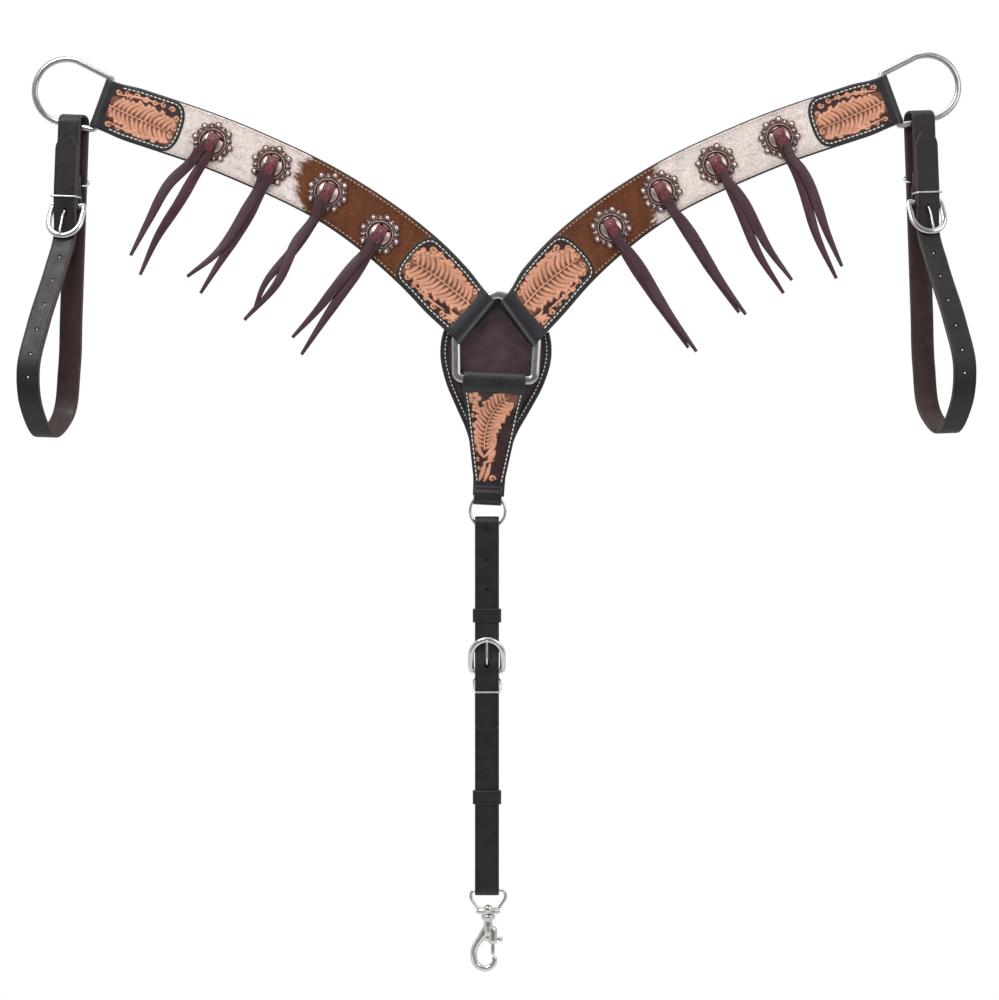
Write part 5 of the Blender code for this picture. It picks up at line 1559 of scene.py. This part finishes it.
def make_buckle(name, matrix, bar, height, heading, reach, bodies, nodes):
    """A horseshoe buckle with knobs at its heel, and the tongue that lies on its bow."""
    straight = BUCKLE_LENGTH - BUCKLE_HALF - BUCKLE_BAND[0]
    out = BUCKLE_HALF + 0.0007
    bow = arc((0, straight), out, 0, 180, 30)
    flat = np.array([(out - 0.0012, 0.0), (out, 0.0050), *bow, (-out, 0.0050), (-out + 0.0012, 0.0)])
    flat = even(flat, 0.0018)
    length = straight + BUCKLE_HALF
    line = np.stack([flat[:, 0], bar + reach * flat[:, 1] / length, height + heading * flat[:, 1]], axis=1)
    shape = Shape()
    tube(shape, moved(matrix, line), BUCKLE_TINT, BUCKLE_BAND[0] + 0.0008, BUCKLE_BAND[1], sides=16,
         up=(0, -1, 0))
    for sign in (-1, 1):
        end = Vector((sign * (BUCKLE_HALF - 0.0012), bar, height))
        out = Vector((sign, 0, 0))
        turn = out.to_track_quat("Z", "Y").to_matrix().to_4x4()
        knob = [(0.0011, -0.0040), (0.0024, -0.0034), (0.0026, -0.0010), (0.0024, 0.0014), (0.0012, 0.0020)]
        lathe(shape, knob, KNOB_TINT, matrix @ Matrix.Translation(end) @ turn, 16)
    half = BUCKLE_HALF - 0.0030
    tube(shape, moved(matrix, [(-half, bar, height), (0, bar, height), (half, bar, height)]),
         HEEL_TINT, HEEL_WIRE, sides=12)
    piece(f"{name}_horseshoe", shape, bodies[0], "nickel", replaces=(nodes[0],))
    ring = HEEL_WIRE + 0.0003 + TONGUE_WIRE
    shape = Shape()
    loop = [(0.0, bar + y, height + z) for y, z in arc((0, 0), ring, 0, 345, 23)]
    tube(shape, moved(matrix, loop), WHITE, TONGUE_WIRE, sides=10, closed=True, up=(1, 0, 0))
    tip = bar + reach - BUCKLE_BAND[1] - TONGUE_WIRE - 0.0003
    prong = smooth([(bar - 0.0016, 0.0024), (bar - 0.0062, 0.0072), (bar - 0.0091, 0.0115),
                    ((bar - 0.0092 + tip) / 2, 0.0200), (tip, BUCKLE_LENGTH - 0.0045),
                    (tip + 0.0004, BUCKLE_LENGTH - 0.0012)], 6)
    prong = [(0.0, y, height + heading * up) for y, up in prong]
    wide = TONGUE_WIRE * np.interp(np.linspace(0, 1, len(prong)), (0, 0.2, 0.9, 1), (1, 1.15, 0.95, 0.45))
    tube(shape, moved(matrix, prong), WHITE, wide, sides=12, up=(1, 0, 0))
    piece(f"{name}_tongue_prong", shape, bodies[1], "nickel", replaces=(nodes[1],))


def make_wire_keeper(name, matrix, half, front, back, height, rise, node):
    """A rounded wire loop about a strap, its front rise higher than its back."""
    across = half + KEEPER_WIRE + 0.0006
    corners = [(-across, back), (across, back), (across, front), (-across, front)]
    loop = rounded(corners, (0.0022,) * 4, steps=7)
    loop = even(loop + loop[:1], 0.001)[:-1]
    slope = rise / (back - front)
    line = [(x, y, height + (back - y) * slope) for x, y in loop]
    shape = tube(Shape(), moved(matrix, line), WHITE, KEEPER_WIRE, sides=12, closed=True,
                 up=(0, slope, 1))
    piece(name, shape, node, "nickel", replaces=(node,))


def tug_matrix(side):
    """Stands a tug strap at its place on the dee's lower leg, leaning and drifting outwards."""
    middle, outward, up = outer_frame(side)
    leg = OUTER_BAR + (OUTER_BOW - OUTER_BAR) * TUG_ALONG / OUTER_REACH
    pivot = middle + outward * TUG_ALONG - up * leg
    skew = Matrix.Identity(4)
    skew[0][1] = -side * TUG_SKEW
    lean = Matrix.Rotation(-side * TUG_LEAN, 4, "Y")
    return Matrix.Translation(pivot) @ lean @ skew


def make_tug(word):
    """A tug strap with its buckle and two wire keepers."""
    matrix = tug_matrix(SIDES[word])
    heel = TUG_HEEL_Z
    fold = TUG_POCKET + STRAP_THICKNESS / 2
    make_strap(f"{word}_tug_leather", tug_path(), TUG_HALF, (0.0150, 1.9), False, matrix, TUG_HOLES,
               (heel - 0.0065, heel - 0.0105), f"{word}_tug_strap")
    make_buckle(f"{word}_tug_buckle", matrix, TUG_BAR, heel, -1, -0.0102,
                (f"{word}_tug_frame", f"{word}_tug_tongue"),
                (f"{word}_tug_buckle_frame", f"{word}_tug_buckle_tongue"))
    make_wire_keeper(f"{word}_tug_front_wire", matrix, TUG_HALF, -fold - 2 * LAYER, TUG_BAR - 0.0006,
                     heel + 0.0076, 0.0006, f"{word}_tug_front_keeper")
    make_wire_keeper(f"{word}_tug_rear_wire", matrix, TUG_HALF, fold - LAYER, fold + LAYER, heel + 0.027,
                     -0.0060, f"{word}_tug_rear_keeper")


# ---------------------------------------------------------------- conchos and strings


def from_berry(angle):
    """The angle from the nearest berry of a concho's rim."""
    pitch = 2 * np.pi / BERRIES
    return (angle + pitch / 2) % pitch - pitch / 2


def concho_relief(radius, angle):
    """Height and tone of a concho's face at each distance from its middle and each angle."""
    near, between = from_berry(angle), from_berry(angle + np.pi / BERRIES)
    berry = np.hypot(radius * np.cos(near) - BERRY_CIRCLE, radius * np.sin(near))
    bead = np.sqrt(np.clip(1 - (berry / BERRY_RADIUS) ** 2, 0, 1))
    height = CONCHO_BASE + 0.0024 * bead
    # Each berry is painted brightest at its top: painted highlight.
    tone = np.where(berry < BERRY_RADIUS, 0.45 + 0.75 * bead, 0.16)
    collar = np.clip(1 - ((berry - 0.0032) / 0.00045) ** 2, 0, 1)
    height += 0.0007 * collar
    tone += 0.55 * collar
    out = radius * np.cos(between)
    across = np.abs(radius * np.sin(between))
    for low, high, wide in ((0.0148, 0.0206, 0.0011), (0.0150, 0.0178, 0.0026)):
        share = np.clip((out - low) / (high - low), 0, 1)
        half = wide * np.sin(np.pi * share) ** 0.7
        blade = np.clip(1 - (across / np.maximum(half, 1e-6)) ** 2, 0, 1) * (share > 0) * (share < 1)
        height += 0.0008 * blade * (berry > 0.0036)
        tone += 0.42 * blade * (berry > 0.0036)
    rope = np.clip(1 - ((radius - ROPE_RADIUS) / 0.0010) ** 2, 0, 1) ** 0.5
    twist = 0.5 + 0.5 * np.sin(40 * angle + (radius - ROPE_RADIUS) * 1800)
    height += rope * (0.0010 + 0.0004 * twist)
    # The rope is painted brighter where its twist stands highest: painted highlight.
    tone += rope * (0.10 + 0.62 * twist)
    dome_share = np.clip(1 - (radius / DOME_RADIUS) ** 2, 0, 1)
    height += 0.0036 * dome_share ** 0.55
    # The dome is painted brighter towards its middle: painted highlight.
    tone = np.where(radius < DOME_RADIUS, 0.62 + 0.30 * dome_share, tone)
    groove = np.exp(-((radius - DOME_RADIUS - 0.0004) / 0.0004) ** 2)
    return height, tone * (1 - 0.8 * groove)


def make_concho(word, number, centre, turn, way):
    """A slotted concho: berries round a scalloped rim, a roped ring, and a plain domed middle.

    turn sets its berries round, and way is where its string hangs, the slot being on the far side.
    """
    angles = np.linspace(0, 2 * np.pi, 192, endpoint=False)
    near = from_berry(angles)
    bulge = np.sqrt(np.clip(0.0037**2 - (BERRY_CIRCLE * np.sin(near)) ** 2, 0, 1))
    rim = np.where(np.abs(near) < 0.19, BERRY_CIRCLE * np.cos(near) + bulge, 0.0)
    rim = np.maximum(rim, BERRY_CIRCLE + 0.0003 + 0.0012 * np.cos(BERRIES * angles + np.pi))
    share = np.concatenate([np.linspace(0.02, 0.56, 16), np.linspace(0.57, 0.995, 46)])
    radius, angle = np.outer(share, rim), np.broadcast_to(angles, (len(share), len(angles)))
    height, tone = concho_relief(radius, angle)
    fall = np.clip((rim[None] - radius) / 0.0005, 0, 1)
    height = height * np.sqrt(1 - (1 - fall) ** 2) * 0.75 + height * 0.25
    dark, warm, bright = (np.array(c) for c in COPPER)
    spin = angle + turn
    along = radius * (np.cos(spin) * way[0] + np.sin(spin) * way[1])
    across = radius * (np.cos(spin) * way[1] - np.sin(spin) * way[0])
    # The slot is not cut through: a flat patch painted near black stands in for it, as painted shade.
    slot = (np.abs(along + 0.0086) < 0.0011) & (np.abs(across) < 0.0066)
    tone = np.where(slot, -0.2, np.clip(tone, 0, 1.2))[..., None]
    height = np.where(slot, CONCHO_BASE, height)
    low, high = tone / 0.6, (tone - 0.6) / 0.6
    tint = np.clip(np.where(tone < 0.6, dark + (warm - dark) * low, warm + (bright - warm) * high), 0.004, 1)
    x, z = centre
    points = np.stack([x + radius * np.cos(spin), CONCHO_BACK - height, z + radius * np.sin(spin)], axis=-1)
    rows, cols = radius.shape
    shape = Shape()
    back = points[-1] * (1, 0, 1) + (0, CONCHO_BACK, 0)
    shape.add(np.concatenate([points, back[None]]), grid_faces(rows + 1, cols, False, True)
              + [tuple(range(cols)), tuple(rows * cols + i for i in range(cols))[::-1]],
              np.concatenate([tint.reshape(-1, 3), np.broadcast_to(dark, (cols, 3))]))
    piece(f"{word}_concho_{number}_face", shape, f"{word}_arm", "copper",
          replaces=(f"{word}_concho_{number}",), sharp=60)


def lace(shape, points, halves, tints, cols=5, roll=None):
    """A flat thong along points in space, facing the front, with rounded edges.

    tints are for its front, edge and back, and roll turns it about its own line.
    """
    points = np.asarray(points, float)
    way = tangents(points)
    side = unit(np.cross(way, TOWARDS_VIEWER))
    face = np.cross(side, way)
    if roll is not None:
        turn = np.asarray(roll, float)[:, None]
        side, face = side * np.cos(turn) + face * np.sin(turn), face * np.cos(turn) - side * np.sin(turn)
    rows, edge = section(0.005, STRING_THICKNESS, cols=cols)
    share, beyond, height, kind = rows.T
    inner = np.maximum(np.asarray(halves, float) - edge, 0.0002)[:, None]
    across = share * inner + np.sign(share) * beyond
    cup = 0.12 * (across ** 2) / np.maximum(inner, 1e-4)
    place = (points[:, None] + side[:, None] * across[..., None] + face[:, None] * (height - cup)[..., None])
    tint = np.array(tints)[kind.astype(int)][None].repeat(len(points), axis=0)
    streak = 1 + 0.14 * np.sin(lengths(points) * 210)[:, None] * np.cos(across * 900)
    return shape.add(place, skin_faces(len(points), len(rows)), (tint * streak[..., None]).reshape(-1, 3))


def tail_route(centre, route, spread, front):
    """A tail's path in space: from the knot over the concho's rim, and then along its own route."""
    first = np.array(route[0])
    way = first - centre
    reach = np.linalg.norm(way)
    way = way / reach
    side = np.array((-way[1], way[0]))
    start = centre + way * 0.0005 + side * spread * 0.6
    over = centre + way * min(0.0125, reach * 0.5) + side * spread
    flat = smooth([tuple(start), tuple(over), *route], 10)
    flat = even(flat, 0.0022)
    run = lengths(flat)
    far = np.linalg.norm(flat - centre, axis=1)
    depth = np.interp(far, (0, 0.010, 0.0235, 0.0300, 0.050, 0.20),
                      (-0.0124, -0.0118, -0.0094, -0.0076, -0.0074, -0.0088))
    depth = depth - front + 0.0010 * np.sin(run * 55 + 40 * centre[0]) * ease(0.03, 0.07, run)
    return np.stack([flat[:, 0], depth, flat[:, 1]], axis=1), run / run[-1], way, side


def make_string(word, number, centre, routes):
    """A latigo string: a folded knot over the concho's middle, and two tapered tails."""
    centre = np.array(centre)
    shape = Shape()
    for layer, (route, sign) in enumerate(zip(routes, (1, -1))):
        spread = sign * 0.0026 * SIDES[word]
        points, share, way, side = tail_route(centre, route, spread, 0.0016 if layer == 0 else 0.0)
        halves = np.interp(share, (0, 0.1, 0.35, 0.6, 1), (0.0044, 0.0049, 0.0058, 0.0050, 0.0017))
        roll = 0.16 * np.sin(share * 5 + number + layer) * sign
        colors = (LATIGO_RED if layer else LATIGO, LATIGO_EDGE, LATIGO_DARK)
        lace(shape, points, halves, colors, roll=roll)
    flap = [(-0.0086, -0.0060), (-0.0080, -0.0108), (-0.0058, -0.0140), (0.0, -0.0156), (0.0064, -0.0152),
            (0.0106, -0.0124)]
    line = np.array(smooth(flap, 6))
    points = np.stack([centre[0] + way[0] * line[:, 0], line[:, 1], centre[1] + way[1] * line[:, 0]], axis=1)
    share = np.linspace(0, 1, len(points))
    halves = np.interp(share, (0, 0.3, 0.6, 0.9, 1), (0.0064, 0.0066, 0.0062, 0.0050, 0.0042))
    lace(shape, points, halves, (LATIGO_KNOT, LATIGO_EDGE, LATIGO_DARK), cols=7)
    hole = np.array((centre[0] + way[0] * 0.0012, -0.0168, centre[1] + way[1] * 0.0012))
    # Two small near-black domes beside the knot's middle stand in for two dimples: painted shade.
    for sign in (-1, 1):
        spot = hole + np.array((side[0], 0, side[1])) * sign * 0.0030 + np.array((0, -0.0002, 0))
        dome(shape, spot, 0.0010, 0.0003, BLACK_EDGE, sides=12)
    piece(f"{word}_string_{number}_laces", shape, f"{word}_string_{number}", "latigo",
          replaces=(f"{word}_string_{number}",), sharp=50)
    bead = Shape()
    spot = hole - np.array((way[0], 0, way[1])) * 0.0042 + np.array((0, 0.0006, 0))
    dome(bead, spot, 0.0009, 0.0007, BEAD, sides=16)
    piece(f"{word}_string_{number}_bead", bead, f"{word}_string_{number}", "copper")


# ---------------------------------------------------------------- the snap


CAST_VOXEL = 0.00042


def fused(name, shape, body, node):
    """Joins overlapping solids into one cast surface with soft inner corners."""
    obj = piece(name, shape, body, "nickel", replaces=(node,))
    remesh = obj.modifiers.new("cast", "REMESH")
    remesh.mode = "VOXEL"
    remesh.voxel_size = CAST_VOXEL
    soften = obj.modifiers.new("soften", "SMOOTH")
    soften.factor = 0.5
    soften.iterations = 4
    settle(obj)
    obj.data.shade_smooth()
    colors = obj.data.attributes.get("tint") or obj.data.attributes.new("tint", "FLOAT_COLOR", "POINT")
    colors.data.foreach_set("color", np.ones(len(obj.data.vertices) * 4, np.float32))
    if not obj.data.materials:
        obj.data.materials.append(MATERIALS["nickel"])
    return obj


def make_snap():
    """The snap: its swivel eye, its cast hook with a bored housing, and the bolt with its lever."""
    shift = np.array((SNAP_X, 0.0, 0.0))
    half = [(x, z + GIRTH_FOOT_Z) for x, z in EYE_SIDE]
    outline = [half[0], half[1], half[2], *[(-x, z) for x, z in reversed(half)]]
    loop = rounded(outline, (0.0045, 0.0060, 0.0030, 0.0030, 0.0060, 0.0045), steps=10)
    loop = even([*loop, loop[0]], 0.0011)[:-1]
    shape = Shape()
    tube(shape, upright(loop) + shift, WHITE, EYE_WIRE, sides=16, closed=True)
    plate = [(0.0020, -0.0030), (0.0110, -0.0026), (0.0127, -0.0012), (0.0127, 0.0010), (0.0105, 0.0024),
             (0.0055, 0.0030)]
    squash = Matrix.Translation((SNAP_X, 0, EYE_BASE_Z)) @ Matrix.Diagonal((1, 0.33, 1, 1))
    lathe(shape, plate, WHITE, squash, 32)
    rivet = [(0.0035, -0.0010), (0.0052, 0.0010), (0.0052, 0.0030), (0.0042, 0.0056), (0.0022, 0.0070),
             (0.0004, 0.0074)]
    lathe(shape, rivet, WHITE, Matrix.Translation((SNAP_X, 0, EYE_BASE_Z)), 28)
    fused("snap_eye_loop", shape, "snap_eye", "snap_swivel_eye")

    hook = Shape()
    line = even(smooth(HOOK_LINE, 12), 0.0010)
    share = np.linspace(0, 1, len(line))
    thick = np.interp(share, (0, 0.2, 0.55, 0.85, 0.96, 1), (0.0040, 0.0037, 0.0034, 0.0031, 0.0027, 0.0016))
    tube(hook, upright(line) + shift, WHITE, thick, thick * 0.92, sides=20)
    throat, heel = (0.0, HOOK_TOP_Z - 0.013), (BOLT_X, LEVER_Z)
    webs = (((throat, (BOLT_X * 0.5, -0.6215), heel), 0.0042, 0.0042),
            ((throat, (-0.0040, -0.6215), (-0.0088, -0.6305)), 0.0046, 0.0038),
            (((-0.0052, -0.6258), (0.0, -0.6278), heel), 0.0036, 0.0036))
    for web, near, far in webs:
        run = upright(smooth(web, 8)) + shift
        thick = np.linspace(near, far, len(run))
        tube(hook, run, WHITE, thick, thick * 0.8, sides=18)
    collar = [(0.0030, -0.0052), (0.0066, -0.0050), (0.0074, -0.0036), (0.0074, -0.0012), (0.0068, -0.0002),
              (0.0030, 0.0)]
    lathe(hook, collar, WHITE, Matrix.Translation((SNAP_X, 0, HOOK_TOP_Z)), 32)
    neck = [(0.0030, -0.0220), (0.0048, -0.0190), (0.0050, -0.0120), (0.0046, -0.0070), (0.0056, -0.0040)]
    lathe(hook, neck, WHITE, Matrix.Translation((SNAP_X, 0, HOOK_TOP_Z)), 28)
    housing = [(0.0027, -0.0185), (0.0044, -0.0178), (0.0048, -0.0150), (0.0048, -0.0040), (0.0038, -0.0012),
               (0.0016, 0.0)]
    lathe(hook, housing, WHITE, Matrix.Translation((SNAP_X + BOLT_X, 0, HOUSING_Z)), 28)
    obj = fused("snap_hook_casting", hook, "snap_hook", "snap_hook")
    bore = [(Vector((SNAP_X + BOLT_X, 0, BORE_Z)), (0, 0, 1))]
    punch(obj, bore, radius=BORE_RADIUS, reach=0.0105)
    open_side(obj)

    bolt = Shape()
    pin = [(0.0012, BOLT_FOOT_Z), (0.0020, BOLT_FOOT_Z + 0.0008), (BOLT_RADIUS, BOLT_FOOT_Z + 0.0022),
           (BOLT_RADIUS, BOLT_TOP_Z - 0.0006), (BOLT_RADIUS - 0.0005, BOLT_TOP_Z)]
    lathe(bolt, pin, WHITE, Matrix.Translation((SNAP_X + BOLT_X, 0, 0)), 22)
    out = Matrix.Translation((SNAP_X + BOLT_X, 0, LEVER_Z)) @ Matrix.Rotation(math.radians(90), 4, "Y")
    lever = [(0.0012, 0.0), (0.0012, 0.0052), (0.0016, 0.0060), (0.0026, 0.0068), (0.0028, 0.0086),
             (0.0020, 0.0102), (0.0006, 0.0106)]
    lathe(bolt, lever, WHITE, out, 20)
    piece("snap_bolt_pin", bolt, "snap_bolt", "nickel", replaces=("snap_bolt",))


def open_side(obj):
    """Cuts the slot that the bolt's lever slides in."""
    middle = Vector((SNAP_X + BOLT_X + 0.0045, 0, LEVER_Z + 0.0012))
    size = Matrix.Diagonal((*LEVER_SLOT, 1))
    work = bmesh.new()
    bmesh.ops.create_cube(work, size=1.0, matrix=Matrix.Translation(middle) @ size)
    take_out(obj, work)


# ---------------------------------------------------------------- the scene

FLOOR_HALF = 1.4
FLOOR_Z = -0.985
CAMERA_PLACE = (0.00315, -3.0, -0.168)
FOCAL_LENGTH = 102.86  # in millimetres, for a sensor 36 mm wide
LIGHT_AIM = (0, 0, -0.05)
LIGHTS = {  # place, size and power
    "key": ((-0.9, -1.5, 1.4), 1.1, 24.0),
    "fill": ((1.3, -1.4, 0.5), 1.2, 9.0),
    "top": ((0.0, -0.1, 1.9), 1.5, 14.0),
}


def make_stage():
    """Pale floor, soft studio lights and the camera straight in front."""
    scene = bpy.context.scene
    mesh = bpy.data.meshes.new("studio_floor")
    size, low = FLOOR_HALF, FLOOR_Z
    corners = [(-size, -size, low), (size, -size, low), (size, size, low), (-size, size, low)]
    mesh.from_pydata(corners, [], [(0, 1, 2, 3)])
    material, _, dress = new_material("studio_paper")
    dress({"Base Color": (0.82, 0.82, 0.82, 1), "Roughness": 0.9})
    mesh.materials.append(material)
    floor = bpy.data.objects.new("studio_floor", mesh)
    scene.collection.objects.link(floor)
    make_world(scene)
    for name, (place, size, power) in LIGHTS.items():
        light = bpy.data.lights.new(name, "AREA")
        light.size = size
        light.energy = power
        obj = bpy.data.objects.new(name, light)
        obj.location = place
        aim = Vector(LIGHT_AIM) - Vector(place)
        obj.rotation_euler = aim.to_track_quat("-Z", "Y").to_euler()
        scene.collection.objects.link(obj)
    lens = bpy.data.cameras.new("camera")
    lens.sensor_width = 36.0
    lens.lens = FOCAL_LENGTH
    camera = bpy.data.objects.new("camera", lens)
    camera.location = CAMERA_PLACE
    camera.rotation_euler = (math.radians(90), 0, 0)
    scene.collection.objects.link(camera)
    scene.camera = camera
    scene.view_settings.view_transform = "Standard"
    scene.view_settings.look = "None"


def make_world(scene):
    """White behind the object; in reflections, a dim room in front and bright walls at the sides."""
    world = bpy.data.worlds.new("studio")
    scene.world = world
    world.use_nodes = True
    tree = world.node_tree
    node = node_maker(tree)
    place = node("ShaderNodeTexCoord").outputs["Generated"]
    depth = node("ShaderNodeSeparateXYZ", {0: place}).outputs["Y"]
    shade = node("ShaderNodeMapRange", {"Value": depth, "From Min": -0.95, "From Max": -0.25,
                                        "To Min": 0.28, "To Max": 0.80}, interpolation_type="SMOOTHSTEP")
    seen = node("ShaderNodeLightPath").outputs["Is Camera Ray"]
    mix = node("ShaderNodeMix", {0: seen, 2: shade.outputs["Result"], 3: 1.0}, data_type="FLOAT")
    feed(tree, tree.nodes["Background"], {"Strength": mix.outputs[0], "Color": (1, 1, 1, 1)})


make_center_dee()
make_lower_ring()
make_plate()
make_drop()
make_girth()
for word in SIDES:
    arm = Arm(word)
    make_band(arm)
    make_hide(arm)
    make_patches(arm)
    make_outer_dee(word)
    make_tug(word)
    for number, (centre, routes) in enumerate(zip(CONCHOS[word], TAILS[word]), 1):
        way = np.array(routes[0][0]) - centre
        way /= np.linalg.norm(way)
        turn = (math.pi / 8 if word == "left" else 0.0) + RANDOM.uniform(-0.08, 0.08)
        make_concho(word, number, centre, turn, way)
        make_string(word, number, centre, routes)
make_snap()
make_stage()
